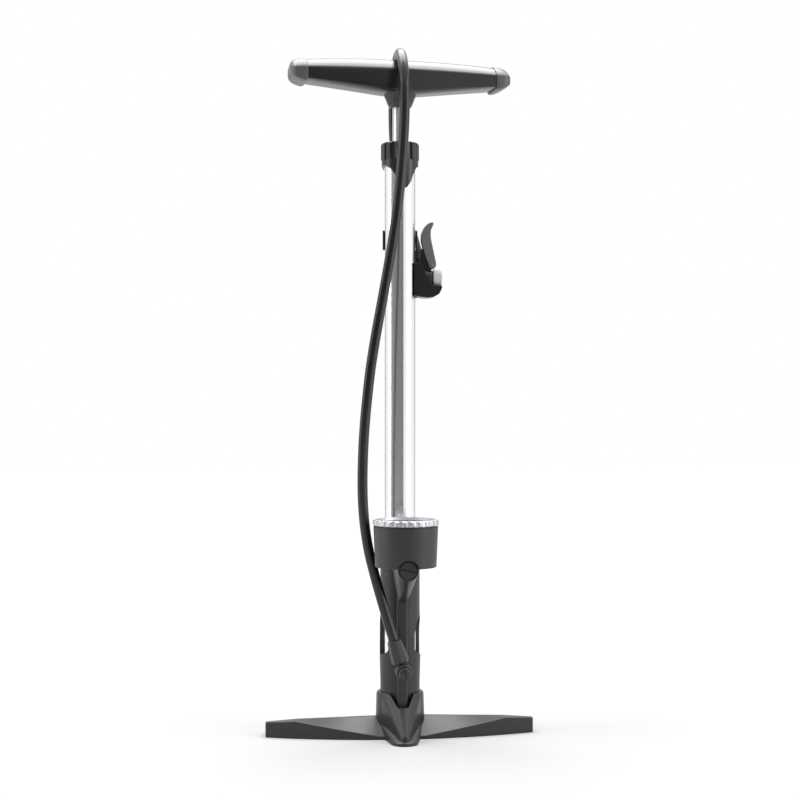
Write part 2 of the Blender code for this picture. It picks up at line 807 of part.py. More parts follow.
def make_gauge_housing(black):
    bottom_radius = GAUGE_RADIUS - GAUGE_DRAFT
    floor = GAUGE_BOTTOM + 0.003
    ledge = DIAL_HEIGHT - CLEARANCE
    inner = GAUGE_RADIUS - GAUGE_WALL
    housing = turned(
        "gauge_housing",
        [
            (0, floor),
            (inner - 0.004, floor),
            (inner - 0.0022, ledge),
            (inner, ledge),
            (inner, GAUGE_RIM),
            (GAUGE_RADIUS, GAUGE_RIM),
            (bottom_radius, GAUGE_BOTTOM + 0.0008),
            (bottom_radius - 0.0008, GAUGE_BOTTOM),
            (0, GAUGE_BOTTOM),
        ],
        black,
        location=(0, -GAUGE_FORWARD, 0),
    )
    notch = cylinder(
        "pod_notch",
        POD_RADIUS + CLEARANCE,
        (0, -POD_FACE - POD_RECESS - 0.01, POD_HEIGHT),
        (0, -SLEEVE_RADIUS + 0.002, POD_HEIGHT),
        facets=32,
    )
    return cut(housing, notch)


def make_gauge_inside(brass, white, red, clear):
    at = (0, -GAUGE_FORWARD, 0)
    flange = POD_HEIGHT + POD_RADIUS + CLEARANCE
    top = DIAL_HEIGHT - 0.008
    stem = turned(
        "gauge_stem",
        [
            (0, top),
            (0.0046, top),
            (0.0046, flange + 0.0045),
            (0.0066, flange + 0.0040),
            (0.0066, flange),
            (0.0040, flange),
            (0.0040, POD_HEIGHT + 0.0035),
            (0, POD_HEIGHT + 0.0035),
        ],
        brass,
        steps=INNER_FACETS,
        location=at,
    )
    cut(
        stem,
        cylinder(
            "spindle_bearing",
            0.0012,
            (0, -GAUGE_FORWARD, top - 0.004),
            (0, -GAUGE_FORWARD, top + 0.002),
            facets=16,
        ),
    )
    route = [(0.0046 + CLEARANCE, 0), (0.0075, 0.0002), (0.0110, 0.0012), (0.0140, 0.0035)]
    bend = 0.0162
    for i in range(18):
        angle = math.radians(22 + 16.1 * i)
        route.append((bend * math.cos(angle), bend * math.sin(angle)))
    tube(
        "bourdon_tube",
        [(x, y, flange + 0.0090) for x, y in route],
        0.0018,
        brass,
        resolution=1,
        location=at,
    )
    dial = turned(
        "gauge_dial",
        ring_profile(0.0016, GAUGE_RADIUS - GAUGE_WALL - CLEARANCE, DIAL_HEIGHT, DIAL_HEIGHT + 0.0008),
        white,
        ring=True,
        location=at,
    )
    needle_plane = DIAL_HEIGHT + 0.0022
    needle = plate(
        "gauge_needle",
        [
            (-0.0065, -0.0012),
            (-0.0065, 0.0012),
            (0.0, 0.0009),
            (NEEDLE_LENGTH - 0.001, 0.0004),
            (NEEDLE_LENGTH, 0.0),
            (NEEDLE_LENGTH - 0.001, -0.0004),
            (0.0, -0.0009),
        ],
        0.0006,
        red,
        location=(0, -GAUGE_FORWARD, needle_plane),
        rotation=(0, 0, NEEDLE_START),
    )
    hub = turned(
        "needle_hub",
        [
            (0, needle_plane + 0.0016),
            (0.0016, needle_plane + 0.0015),
            (0.0026, needle_plane + 0.0009),
            (0.0026, needle_plane - 0.0008),
            (0.0009, needle_plane - 0.0008),
            (0.0009, top - 0.0036),
            (0, top - 0.0036),
        ],
        steps=16,
        location=at,
    )
    join(needle, hub)
    lens_seat = GAUGE_RIM + CLEARANCE
    turned(
        "gauge_lens",
        [
            (0, lens_seat + 0.0034),
            (0.013, lens_seat + 0.0031),
            (GAUGE_RADIUS - 0.0034, lens_seat + 0.0022),
            (GAUGE_RADIUS - 0.0010, lens_seat + 0.0022),
            (GAUGE_RADIUS - 0.0010, lens_seat),
            (0, lens_seat),
        ],
        clear,
        location=at,
    )
    return dial


def make_bezel(chrome):
    """A ribbed ring: teeth around its rim, a stepped bore that holds the lens down on the housing."""
    low = GAUGE_RIM + CLEARANCE
    root, tip = GAUGE_RADIUS + 0.0001, GAUGE_RADIUS + 0.0008
    outline = []
    for rib in range(BEZEL_RIBS):
        for share, radius in ((0.0, root), (0.42, root), (0.56, tip), (0.86, tip)):
            angle = math.tau * (rib + share) / BEZEL_RIBS
            outline.append((radius * math.cos(angle), radius * math.sin(angle)))
    bezel = plate(
        "gauge_bezel",
        outline,
        GAUGE_TOP - low,
        chrome,
        location=(0, -GAUGE_FORWARD, (GAUGE_TOP + low) / 2),
    )
    lip = low + 0.0022 + CLEARANCE
    bore = turned(
        "bezel_bore",
        [
            (0, GAUGE_TOP + 0.001),
            (GAUGE_RADIUS - 0.0024, GAUGE_TOP + 0.001),
            (GAUGE_RADIUS - 0.0034, lip),
            (GAUGE_RADIUS - 0.0007, lip),
            (GAUGE_RADIUS - 0.0007, low - 0.001),
            (0, low - 0.001),
        ],
        location=(0, -GAUGE_FORWARD, 0),
    )
    return cut(bezel, bore)


def make_port_plug(black, rubber):
    """The slotted plug that closes the front of the pod's air passage. Its head is at local +Z."""
    at = (0, -POD_FACE, POD_HEIGHT)
    head, shank = 0.0081, 0.0044
    seal_at = -0.0115
    plug = turned(
        "port_plug",
        [
            (0, -0.0002),
            (head - 0.0006, -0.0002),
            (head, -0.0008),
            (head, -0.0037),
            (shank, -0.0037),
            *sealed_plug_profile(-0.0165, -0.0040, seal_at, shank, 0.0)[1:],
            (0, -0.0165),
        ],
        black,
        steps=SMALL_FACETS,
        location=at,
        rotation=FORWARD,
    )
    slot = block(
        "plug_slot",
        (-0.0105, -0.0008, -0.0016),
        (0.0105, 0.0008, 0.0010),
        location=at,
        rotation=(math.pi / 2, math.radians(12), 0),
    )
    cut(plug, slot)
    torus(
        "port_plug_seal",
        shank - SEAL_MINOR,
        SEAL_MINOR,
        rubber,
        steps=SMALL_FACETS,
        location=(0, -POD_FACE - seal_at, POD_HEIGHT),
        rotation=FORWARD,
    )


# ---------------------------------------------------------------- hose and its swivel fitting


def make_hose_fitting(black, brass, rubber):
    washer = 0.0012
    back = RIB_FACE + CLEARANCE + washer + CLEARANCE
    front = back + FITTING_DEPTH
    centre = (0, -(back + front) / 2, FITTING_HEIGHT)
    along = Matrix.Rotation(BOOT_LEAN, 3, "Y") @ Vector((0, 0, 1))
    ring = [
        (FITTING_BOLT_RADIUS + CLEARANCE, front),
        (FITTING_RADIUS - 0.0012, front),
        (FITTING_RADIUS, front - 0.0012),
        (FITTING_RADIUS, back + 0.0012),
        (FITTING_RADIUS - 0.0012, back),
        (FITTING_BOLT_RADIUS + CLEARANCE, back),
    ]
    fitting = turned(
        "hose_fitting",
        ring,
        black,
        ring=True,
        steps=SMALL_FACETS,
        location=(0, 0, FITTING_HEIGHT),
        rotation=FORWARD,
    )
    stub = cylinder(
        "hose_stub",
        0.0034,
        Vector(centre) + 0.0045 * along,
        Vector(centre) + (BOOT_START + 0.010) * along,
        facets=16,
    )
    join(fitting, stub)
    bolt_room = cylinder(
        "bolt_room",
        FITTING_BOLT_RADIUS + CLEARANCE,
        (0, -back + 0.001, FITTING_HEIGHT),
        (0, -front - 0.001, FITTING_HEIGHT),
        facets=16,
    )
    cut(fitting, bolt_room)
    seats = {"fitting_washer_rear": RIB_FACE + CLEARANCE, "fitting_washer_front": front + CLEARANCE}
    for name, at in seats.items():
        turned(
            name,
            ring_profile(FITTING_BOLT_RADIUS + CLEARANCE, 0.0050, at, at + washer),
            rubber,
            ring=True,
            steps=SMALL_FACETS,
            location=(0, 0, FITTING_HEIGHT),
            rotation=FORWARD,
        )
    head = front + washer + 2 * CLEARANCE
    bolt = turned(
        "fitting_bolt",
        [
            (0, head + 0.0032),
            (0.0042, head + 0.0032),
            (0.0056, head + 0.0020),
            (0.0056, head),
            (FITTING_BOLT_RADIUS, head),
            (FITTING_BOLT_RADIUS, RIB_FACE - 0.0035),
            (0, RIB_FACE - 0.0035),
        ],
        brass,
        steps=SMALL_FACETS,
        location=(0, 0, FITTING_HEIGHT),
        rotation=FORWARD,
    )
    cut(
        bolt,
        block(
            "bolt_slot",
            (-0.007, -0.0007, head + 0.0018),
            (0.007, 0.0007, head + 0.005),
            location=(0, 0, FITTING_HEIGHT),
            rotation=(math.pi / 2, math.radians(75), 0),
        ),
    )
    boot = turned(
        "hose_boot",
        [
            (0, BOOT_END),
            (BOOT_TIP_RADIUS - 0.0010, BOOT_END),
            (BOOT_TIP_RADIUS, BOOT_END - 0.0015),
            (BOOT_RADIUS, BOOT_START + 0.0035),
            (BOOT_RADIUS - 0.0015, BOOT_START),
            (0.0034 + CLEARANCE, BOOT_START),
            (0.0034 + CLEARANCE, BOOT_START + 0.0105),
            (0, BOOT_START + 0.0105),
        ],
        black,
        steps=BOOT_FACETS,
        location=centre,
        rotation=(0, BOOT_LEAN, 0),
    )
    boot.modifiers["Turn"].use_smooth_shade = False
    fitting_room = cylinder(
        "fitting_room",
        FITTING_RADIUS + CLEARANCE,
        (0, -back + 0.005, FITTING_HEIGHT),
        (0, -front - 0.005, FITTING_HEIGHT),
        facets=32,
    )
    cut(boot, fitting_room)
    return Vector(centre) + (BOOT_END + CLEARANCE) * along, along


def hose_route(start, start_direction, end, end_direction):
    """From the boot up past the gauge, over the handle from front to back, and down behind the barrel."""
    base = ARCH_HEIGHT - ARCH_RADIUS
    up = [
        (-0.0175, -0.0345, 0.1210),
        (-0.0255, -0.0342, 0.1490),
        (-0.0322, -0.0342, 0.1763),
        (-0.0363, -0.0348, 0.2040),
        (-0.0379, -0.0360, 0.2314),
        (-0.0377, -0.0375, 0.2590),
        (-0.0365, -0.0395, 0.2865),
        (-0.0342, -0.0415, 0.3140),
        (-0.0312, -0.0430, 0.3414),
        (-0.0271, -0.0445, 0.3687),
        (-0.0222, -0.0455, 0.3960),
        (-0.0172, -0.0460, 0.4233),
        (-0.0124, -0.0460, 0.4507),
        (-0.0075, -0.0455, 0.4826),
        (-0.0035, -0.0440, 0.5193),
        (-0.0011, -0.0425, 0.5497),
        (0.0003, -0.0415, 0.5790),
    ]
    over = []
    for i in range(9):
        forward, up_by = (ARCH_RADIUS * f(math.pi * i / 8) for f in (math.cos, math.sin))
        over.append((0.0004 - 0.0029 * i / 8, -forward, base + up_by))
    down = [
        (-0.0020, 0.0414, 0.5700),
        (0.0005, 0.0400, 0.5400),
        (0.0050, 0.0360, 0.5100),
        (0.0115, 0.0300, 0.4830),
    ]
    return [
        start,
        start + 0.0095 * start_direction,
        *up,
        *over,
        *down,
        end + 0.0095 * end_direction,
        end,
    ]


# ---------------------------------------------------------------- cap, bush and rod


def make_cap(black, dark, brass, felt):
    low = BARREL_TOP + CLEARANCE
    outline = []
    per_lobe = 2
    for i in range(CAP_LOBES * per_lobe):
        angle = math.tau * i / (CAP_LOBES * per_lobe)
        wave = math.cos(CAP_LOBES * angle)
        radius = CAP_RADIUS - 0.0009 * (1 - wave)
        outline.append((radius * math.cos(angle), radius * math.sin(angle)))
    nut = plate("cap_nut", outline, CAP_HEIGHT, black, location=(0, 0, low + CAP_HEIGHT / 2))
    trim = turned(
        "cap_trim",
        [
            (0, low + CAP_HEIGHT),
            (CAP_RADIUS - 0.0024, low + CAP_HEIGHT),
            (CAP_RADIUS - 0.0007, low + CAP_HEIGHT - 0.0008),
            (CAP_RADIUS + 0.0001, low + CAP_HEIGHT - 0.0026),
            (CAP_RADIUS + 0.0001, low + 0.0010),
            (CAP_RADIUS - 0.0009, low - 0.0005),
            (0, low - 0.0005),
        ],
        steps=FACETS,
    )
    combine(nut, "INTERSECT", trim)
    flange_top = low + 0.0030
    bore = turned(
        "cap_bore",
        [
            (0, low + CAP_HEIGHT + 0.001),
            (ROD_RADIUS + 0.0005, low + CAP_HEIGHT + 0.001),
            (ROD_RADIUS + 0.0005, low + CAP_HEIGHT - 0.0020),
            (ROD_RADIUS + 0.0033, low + CAP_HEIGHT - 0.0020),
            (ROD_RADIUS + 0.0033, low + CAP_HEIGHT - 0.0060),
            (ROD_RADIUS + 0.0008, low + CAP_HEIGHT - 0.0060),
            (ROD_RADIUS + 0.0008, flange_top + CLEARANCE),
            (BARREL_RADIUS, flange_top + CLEARANCE),
            (BARREL_RADIUS, low - 0.001),
            (0, low - 0.001),
        ],
        steps=SMALL_FACETS,
    )
    cut(nut, bore)
    turned(
        "rod_wiper",
        ring_profile(
            ROD_RADIUS + CLEARANCE,
            ROD_RADIUS + 0.0033 - CLEARANCE,
            low + CAP_HEIGHT - 0.0060 + CLEARANCE,
            low + CAP_HEIGHT - 0.0020 - CLEARANCE,
        ),
        felt,
        ring=True,
        steps=SMALL_FACETS,
    )
    turned(
        "rod_bush",
        [
            (ROD_RADIUS + CLEARANCE, flange_top),
            (BARREL_RADIUS - CLEARANCE, flange_top),
            (BARREL_RADIUS - CLEARANCE, low),
            (BARREL_BORE - CLEARANCE, low),
            (BARREL_BORE - CLEARANCE, low - 0.018),
            (BARREL_BORE - 0.0013, low - 0.019),
            (ROD_RADIUS + CLEARANCE, low - 0.019),
        ],
        brass,
        ring=True,
        steps=SMALL_FACETS,
    )
    collar_top = BARREL_TOP - CLEARANCE
    outer = BARREL_RADIUS + 0.0026
    collar = turned(
        "cap_collar",
        ring_profile(SLEEVE_BORE, outer, BARREL_TOP - TONGUE_LENGTH - 0.002, collar_top, 0.0006),
        dark,
        ring=True,
    )
    skirt = collar_top - COLLAR_SKIRT
    side = [
        (0.0195, collar_top + 0.002),
        (0.0195, skirt),
        (0.0146, skirt - 0.0016),
        (0.0113, skirt - 0.0052),
        (0.0091, skirt - 0.0105),
        (0.0075, skirt - 0.0165),
        (0.0050, skirt - 0.0215),
    ]
    tongue = plate(
        "tongue",
        [*side, (0, BARREL_TOP - TONGUE_LENGTH), *((-x, z) for x, z in reversed(side))],
        0.05,
        rotation=UPRIGHT,
    )
    combine(collar, "INTERSECT", tongue)


def make_rod(silver):
    rod = turned(
        "rod",
        ring_profile(ROD_BORE, ROD_RADIUS, PISTON_TOP + CLEARANCE, ROD_TOP, 0.0004),
        silver,
        ring=True,
        steps=20,
    )
    return cut(rod, pin_hole("rod_pin_hole"))


def make_piston(nylon, rubber, white):
    radius = BARREL_BORE - CLEARANCE
    band_low, band_high = PISTON_TOP - 0.0060, PISTON_TOP - 0.0030
    seal_height = PISTON_BOTTOM + 0.0060
    turned(
        "piston",
        [
            (0, PISTON_TOP + 0.0120),
            (ROD_BORE - CLEARANCE - 0.0006, PISTON_TOP + 0.0120),
            (ROD_BORE - CLEARANCE, PISTON_TOP + 0.0110),
            (ROD_BORE - CLEARANCE, PISTON_TOP),
            (radius - 0.0010, PISTON_TOP),
            (radius, PISTON_TOP - 0.0010),
            (radius, band_high + CLEARANCE),
            (radius - 0.0012, band_high + CLEARANCE),
            (radius - 0.0012, band_low - CLEARANCE),
            *sealed_plug_profile(PISTON_BOTTOM + 0.0010, band_low - CLEARANCE, seal_height, radius, 0.0)[1:],
            (radius - 0.0010, PISTON_BOTTOM),
            (0.0090, PISTON_BOTTOM),
            (0.0070, PISTON_BOTTOM + 0.0030),
            (0, PISTON_BOTTOM + 0.0030),
        ],
        nylon,
        steps=INNER_FACETS,
    )
    torus("piston_seal", radius - SEAL_MINOR, SEAL_MINOR, rubber, location=(0, 0, seal_height))
    turned(
        "piston_band",
        ring_profile(radius - 0.0012 + CLEARANCE, radius + 0.0001, band_low, band_high),
        white,
        ring=True,
        steps=INNER_FACETS,
    )


# ---------------------------------------------------------------- handle

PIN_HEIGHT = HANDLE_SOCKET_BOTTOM + 0.0085
PIN_RADIUS = 0.0019
ROD_TOP = HANDLE_SOCKET_BOTTOM + 0.026
HALF_HANDLE = HANDLE_LENGTH / 2
HANDLE_BAR_END = HALF_HANDLE - HANDLE_CAP_LENGTH


def pin_hole(name):
    ends = (0, -0.03, PIN_HEIGHT), (0, 0.03, PIN_HEIGHT)
    return cylinder(name, PIN_RADIUS + CLEARANCE, *ends, parent=HANDLE_FRAME)


def handle_section(x, grow=0.0, lip=0.0):
    """The bar's outline at x: upright front and back, a crowned top, an underside that rises outwards."""
    reach = max(0.0, 1 - max(0.0, x - 0.015) / (HALF_HANDLE - 0.015))
    low = HANDLE_END_BOTTOM - HANDLE_END_RISE * reach - grow - lip
    share = x / HALF_HANDLE
    edge = HANDLE_EDGE - 0.0015 * share
    crest = HANDLE_CREST - 0.0045 * share**2.5 + grow
    depth = HANDLE_HALF_DEPTH - 0.0018 * share + grow
    corner = min(0.0032, 0.4 * (edge - low), 0.5 * depth)
    front = [
        (-depth + corner, low),
        (-depth + 0.3 * corner, low + 0.3 * corner),
        (-depth, low + corner),
        (-depth, edge),
    ]
    for angle in map(math.radians, (20, 40, 62)):
        front.append((-depth * math.cos(angle) ** 0.9, edge + (crest - edge) * math.sin(angle)))
    back = [(-y, z) for y, z in reversed(front)]
    return [(x, y, z) for y, z in [*front, (0, crest), *back]]


def make_handle(black, grip, steel):
    stations = (0, 0.015, 0.036, 0.056, 0.076, HANDLE_BAR_END)
    sections = [handle_section(x) for x in stations]
    handle = loft("handle", sections, black, open_start=True, parent=HANDLE_FRAME)
    mirrored(handle)
    root = ROD_RADIUS + 0.0027
    flare = turned(
        "socket_flare",
        [
            (0, HANDLE_BOTTOM + 0.006),
            (root + 0.0150, HANDLE_BOTTOM + 0.0060),
            (root + 0.0112, HANDLE_BOTTOM + 0.0010),
            (root + 0.0068, HANDLE_BOTTOM - 0.0018),
            (root + 0.0030, HANDLE_BOTTOM - 0.0068),
            (root + 0.0004, HANDLE_SOCKET_BOTTOM + 0.0008),
            (root - 0.0004, HANDLE_SOCKET_BOTTOM),
            (0, HANDLE_SOCKET_BOTTOM),
        ],
        parent=HANDLE_FRAME,
    )
    join(handle, flare)
    rod_room = cylinder(
        "rod_room",
        ROD_RADIUS + CLEARANCE,
        (0, 0, HANDLE_SOCKET_BOTTOM - 0.002),
        (0, 0, ROD_TOP + CLEARANCE),
        facets=20,
        parent=HANDLE_FRAME,
    )
    cut(handle, rod_room, pin_hole("handle_pin_hole"))
    pin_reach = root + 0.0012
    cylinder(
        "handle_pin",
        PIN_RADIUS,
        (0, -pin_reach, PIN_HEIGHT),
        (0, pin_reach, PIN_HEIGHT),
        steel,
        facets=16,
        parent=HANDLE_FRAME,
    )
    inner = HANDLE_BAR_END + CLEARANCE
    length = HALF_HANDLE - inner
    cap_stations = (
        (0.00, 0.0008, 0.0000),
        (0.06, 0.0012, 0.0020),
        (0.42, 0.0012, 0.0020),
        (0.70, 0.0004, 0.0004),
        (0.90, -0.0022, 0.0),
        (1.00, -0.0058, 0.0),
    )
    sections = [handle_section(inner + length * share, grow, lip) for share, grow, lip in cap_stations]
    for name, side in (("handle_cap_right", 1), ("handle_cap_left", -1)):
        ends = [[(side * x, y, z) for x, y, z in section] for section in sections]
        loft(name, ends, grip, parent=HANDLE_FRAME)


# ---------------------------------------------------------------- clip and head


def make_clip(black):
    """The spring clip around the barrel with the cradle that holds the head on its right."""
    outer, inner = [], []
    steps = 22
    for i in range(steps + 1):
        angle = -CLIP_MOUTH + (math.pi + 2 * CLIP_MOUTH) * i / steps
        radius = CLIP_RADIUS - CLIP_TAPER * max(0.0, 2 * i / steps - 1)
        outer.append((radius * math.cos(angle), radius * math.sin(angle)))
        inner.insert(0, (SLEEVE_BORE * math.cos(angle), SLEEVE_BORE * math.sin(angle)))
    clip = plate(
        "head_clip",
        outer + inner,
        CLIP_TOP - CLIP_BOTTOM,
        black,
        location=(0, 0, (CLIP_TOP + CLIP_BOTTOM) / 2),
    )
    slant = plate(
        "clip_slant",
        [
            (-0.030, CLIP_BOTTOM - 0.002),
            (0.022, CLIP_BOTTOM - 0.002),
            (0.022, CLIP_BOTTOM + 0.0025),
            (0.012, CLIP_BOTTOM + 0.0005),
            (-0.002, CLIP_BOTTOM + 0.026),
            (-0.006, CLIP_TOP - CLIP_BAND),
            (-0.030, CLIP_TOP - CLIP_BAND),
        ],
        0.05,
        rotation=UPRIGHT,
    )
    cut(clip, slant)
    nozzle = Vector((0, 0, NOZZLE_HEIGHT))
    outline = [
        (-0.0085, 0.0135),
        (0.0003, 0.0135),
        (0.0137, -0.0085),
        (0.0212, -0.0070),
        (0.0216, -0.0096),
        (0.0190, -0.0152),
        (0.0140, -0.0182),
        (0.0085, -0.0190),
        (0.0020, -0.0185),
        (-0.0085, -0.0166),
    ]
    at = nozzle + Vector((CLIP_RADIUS, 0, 0))
    cradle = plate("cradle", outline, 0.0205, location=at, rotation=UPRIGHT)
    pocket = plate(
        "cradle_pocket",
        [
            (0.0006, 0.0300),
            (0.0006, -0.0158),
            (0.0084, -0.0163),
            (0.0134, -0.0158),
            (0.0174, -0.0136),
            (0.0195, -0.0095),
            (0.0195, 0.0300),
        ],
        0.0165,
        location=nozzle + Vector((CLIP_RADIUS, 0, 0)),
        rotation=UPRIGHT,
    )
    rear_room = block(
        "tail_room",
        (CLIP_RADIUS + 0.0003, 0.0040, NOZZLE_HEIGHT - 0.0100),
        (CLIP_RADIUS + 0.0300, 0.0200, NOZZLE_HEIGHT + 0.0300),
    )
    corner_room = block(
        "corner_room",
        (CLIP_RADIUS - 0.0150, 0.0065, NOZZLE_HEIGHT - 0.0060),
        (CLIP_RADIUS + 0.0100, 0.0200, NOZZLE_HEIGHT + 0.0290),
    )
    nut_room = cylinder(
        "nut_room",
        NOZZLE_NUT_RADIUS + 0.0004,
        (CLIP_RADIUS + 0.0130, 0, NOZZLE_HEIGHT),
        (CLIP_RADIUS + 0.0300, 0, NOZZLE_HEIGHT),
        facets=32,
    )
    in_the_wall = cylinder(
        "clip_bore", SLEEVE_BORE + CLIP_WALL / 2, (0, 0, CLIP_BOTTOM), (0, 0, CLIP_TOP), facets=FACETS
    )
    cut(cradle, in_the_wall, pocket, rear_room, corner_room, nut_room)
    return join(clip, cradle)


TAIL_START = (0.0061, 0.0061, -0.0031)  # from the point where the nozzle's axis meets the clip
TAIL_DIRECTION = Vector((-0.15, 0.40, 0.905)).normalized()
TAIL_STUB = 0.013
TAIL_NUT = (0.0135, 0.0252)
PIVOT = (0.0129, 0.0123)  # across and up, from the same point
NUT_BACK, NUT_FRONT = 0.0136, 0.0219
NECK_BORE = 0.0053
NECK_RADIUS = 0.0067
NECK_END = 0.0164


def make_head(black, dark, pale, steel, rubber, brass):
    frame = HEAD_FRAME
    body = plate(
        "head_body",
        [
            (0.0012, -0.0085),
            (0.0024, -0.0130),
            (0.0052, -0.0152),
            (0.0096, -0.0157),
            (0.0118, -0.0128),
            (0.0122, -0.0080),
            (0.0118, 0.0080),
            (0.0150, 0.0088),
            (0.0161, 0.0112),
            (0.0156, 0.0140),
            (0.0134, 0.0153),
            (0.0108, 0.0200),
            (0.0090, 0.0270),
            (0.0050, 0.0290),
            (0.0018, 0.0262),
            (0.0010, 0.0180),
        ],
        0.0068,
        black,
        parent=frame,
        rotation=UPRIGHT,
    )
    bevelled(body, 0.0006, 1)
    chamber = turned(
        "chamber",
        bar_profile(0.0075, 0.0012, 0.0128, 0.0012),
        steps=SMALL_FACETS,
        parent=frame,
        rotation=TO_THE_RIGHT,
    )
    keel = hull(
        "keel",
        [
            Vector((x, y, z))
            for x, z in (
                (0.0014, -0.0080),
                (0.0030, -0.0142),
                (0.0055, -0.0155),
                (0.0093, -0.0159),
                (0.0116, -0.0130),
                (0.0122, -0.0070),
            )
            for y in (-0.0062, 0.0062)
        ],
        parent=frame,
    )
    neck = cylinder("neck", NECK_RADIUS, (0.010, 0, 0), (NECK_END, 0, 0), parent=frame)
    start = Vector(TAIL_START)
    stub = cylinder("tail_stub", 0.0047, start, start + TAIL_STUB * TAIL_DIRECTION, parent=frame)
    barb_end = start + (TAIL_STUB + 0.0085) * TAIL_DIRECTION
    barb = cylinder("tail_barb", 0.0031, start, barb_end, facets=12, parent=frame)
    join(body, chamber, keel, neck, stub, barb)
    cut(
        body,
        cylinder("neck_bore", NECK_BORE, (0.0062, 0, 0), (0.030, 0, 0), parent=frame),
        cylinder(
            "tail_air",
            0.0014,
            start - 0.001 * TAIL_DIRECTION,
            start + 0.05 * TAIL_DIRECTION,
            facets=12,
            parent=frame,
        ),
        cylinder(
            "lever_pin_room",
            0.0013 + CLEARANCE,
            (PIVOT[0], -0.02, PIVOT[1]),
            (PIVOT[0], 0.02, PIVOT[1]),
            facets=16,
            parent=frame,
        ),
    )
    turned(
        "nozzle_nut",
        [
            (0.0043, NUT_FRONT),
            (NOZZLE_NUT_RADIUS - 0.0010, NUT_FRONT),
            (NOZZLE_NUT_RADIUS, NUT_FRONT - 0.0010),
            (NOZZLE_NUT_RADIUS, NUT_BACK + 0.0005),
            (NOZZLE_NUT_RADIUS - 0.0005, NUT_BACK),
            (NECK_RADIUS + CLEARANCE, NUT_BACK),
            (NECK_RADIUS + CLEARANCE, NECK_END + CLEARANCE),
            (NECK_BORE + 0.0002, NECK_END + CLEARANCE),
            (NECK_BORE + 0.0002, NUT_FRONT - 0.0022),
            (0.0043, NUT_FRONT - 0.0022),
        ],
        pale,
        ring=True,
        steps=SMALL_FACETS,
        parent=frame,
        rotation=TO_THE_RIGHT,
    )
    gasket_back = NUT_FRONT - 0.0022 - CLEARANCE - 0.0060
    turned(
        "head_gasket",
        ring_profile(0.0028, NECK_BORE - CLEARANCE, gasket_back, gasket_back + 0.0060, 0.0004),
        rubber,
        ring=True,
        steps=SMALL_FACETS,
        parent=frame,
        rotation=TO_THE_RIGHT,
    )
    plunger_front = gasket_back - CLEARANCE
    turned(
        "head_plunger",
        ring_profile(0.0020, NECK_BORE - CLEARANCE, plunger_front - 0.0045, plunger_front, 0.0004),
        brass,
        ring=True,
        steps=INNER_FACETS,
        parent=frame,
        rotation=TO_THE_RIGHT,
    )
    low, high = TAIL_NUT
    turn = TAIL_DIRECTION.to_track_quat("Z", "Y").to_euler()
    turned(
        "hose_ferrule",
        [
            (0, high),
            (0.0052, high),
            (0.0058, high - 0.0010),
            (0.0062, low + 0.0015),
            (0.0057, low),
            (0.0031 + CLEARANCE, low),
            (0.0031 + CLEARANCE, low + 0.0090),
            (0, low + 0.0090),
        ],
        dark,
        steps=SMALL_FACETS,
        parent=frame,
        location=start,
        rotation=turn,
    )
    reach = start + (high + CLEARANCE) * TAIL_DIRECTION
    return Vector(frame.location) + reach, TAIL_DIRECTION


def make_lever(dark, steel):
    """A channel-shaped lever that straddles the body on a pin and folds up along the head."""
    frame = LEVER_FRAME
    turns = [math.radians(angle) for angle in range(180, 361, 30)]
    outline = [(0.0036 * math.cos(turn), 0.0036 * math.sin(turn)) for turn in turns]
    outline += [
        (0.0040, 0.0140),
        (0.0042, 0.0250),
        (0.0058, 0.0318),
        (0.0102, 0.0376),
        (0.0088, 0.0392),
        (0.0040, 0.0386),
        (-0.0004, 0.0352),
        (-0.0036, 0.0300),
        (-0.0050, 0.0240),
        (-0.0050, 0.0160),
        (-0.0042, 0.0070),
    ]
    lever = plate("head_lever", outline, 2 * LEVER_HALF_WIDTH, dark, parent=frame, rotation=UPRIGHT)
    bevelled(lever, 0.0007, 1)
    channel = block(
        "lever_channel",
        (-0.012, -LEVER_HALF_WIDTH + LEVER_WALL, -0.010),
        (0.0018, LEVER_HALF_WIDTH - LEVER_WALL, 0.0270),
        parent=frame,
    )
    foot = block(
        "lever_foot_room",
        (-0.012, -LEVER_HALF_WIDTH + LEVER_WALL, -0.010),
        (0.012, LEVER_HALF_WIDTH - LEVER_WALL, 0.0048),
        parent=frame,
    )
    hole = cylinder("lever_hole", 0.0013 + CLEARANCE, (0, -0.02, 0), (0, 0.02, 0), facets=16, parent=frame)
    cut(lever, channel, foot, hole)
    cylinder(
        "lever_pin",
        0.0013,
        (PIVOT[0], -LEVER_HALF_WIDTH - 0.0004, PIVOT[1]),
        (PIVOT[0], LEVER_HALF_WIDTH + 0.0004, PIVOT[1]),
        steel,
        facets=16,
        parent=HEAD_FRAME,
    )


# ---------------------------------------------------------------- the pump


def empty(name, location=(0, 0, 0), rotation=(0, 0, 0)):
    made = bpy.data.objects.new(name, None)
    made.location = location
    made.rotation_euler = rotation
    PUMP.objects.link(made)
    return made


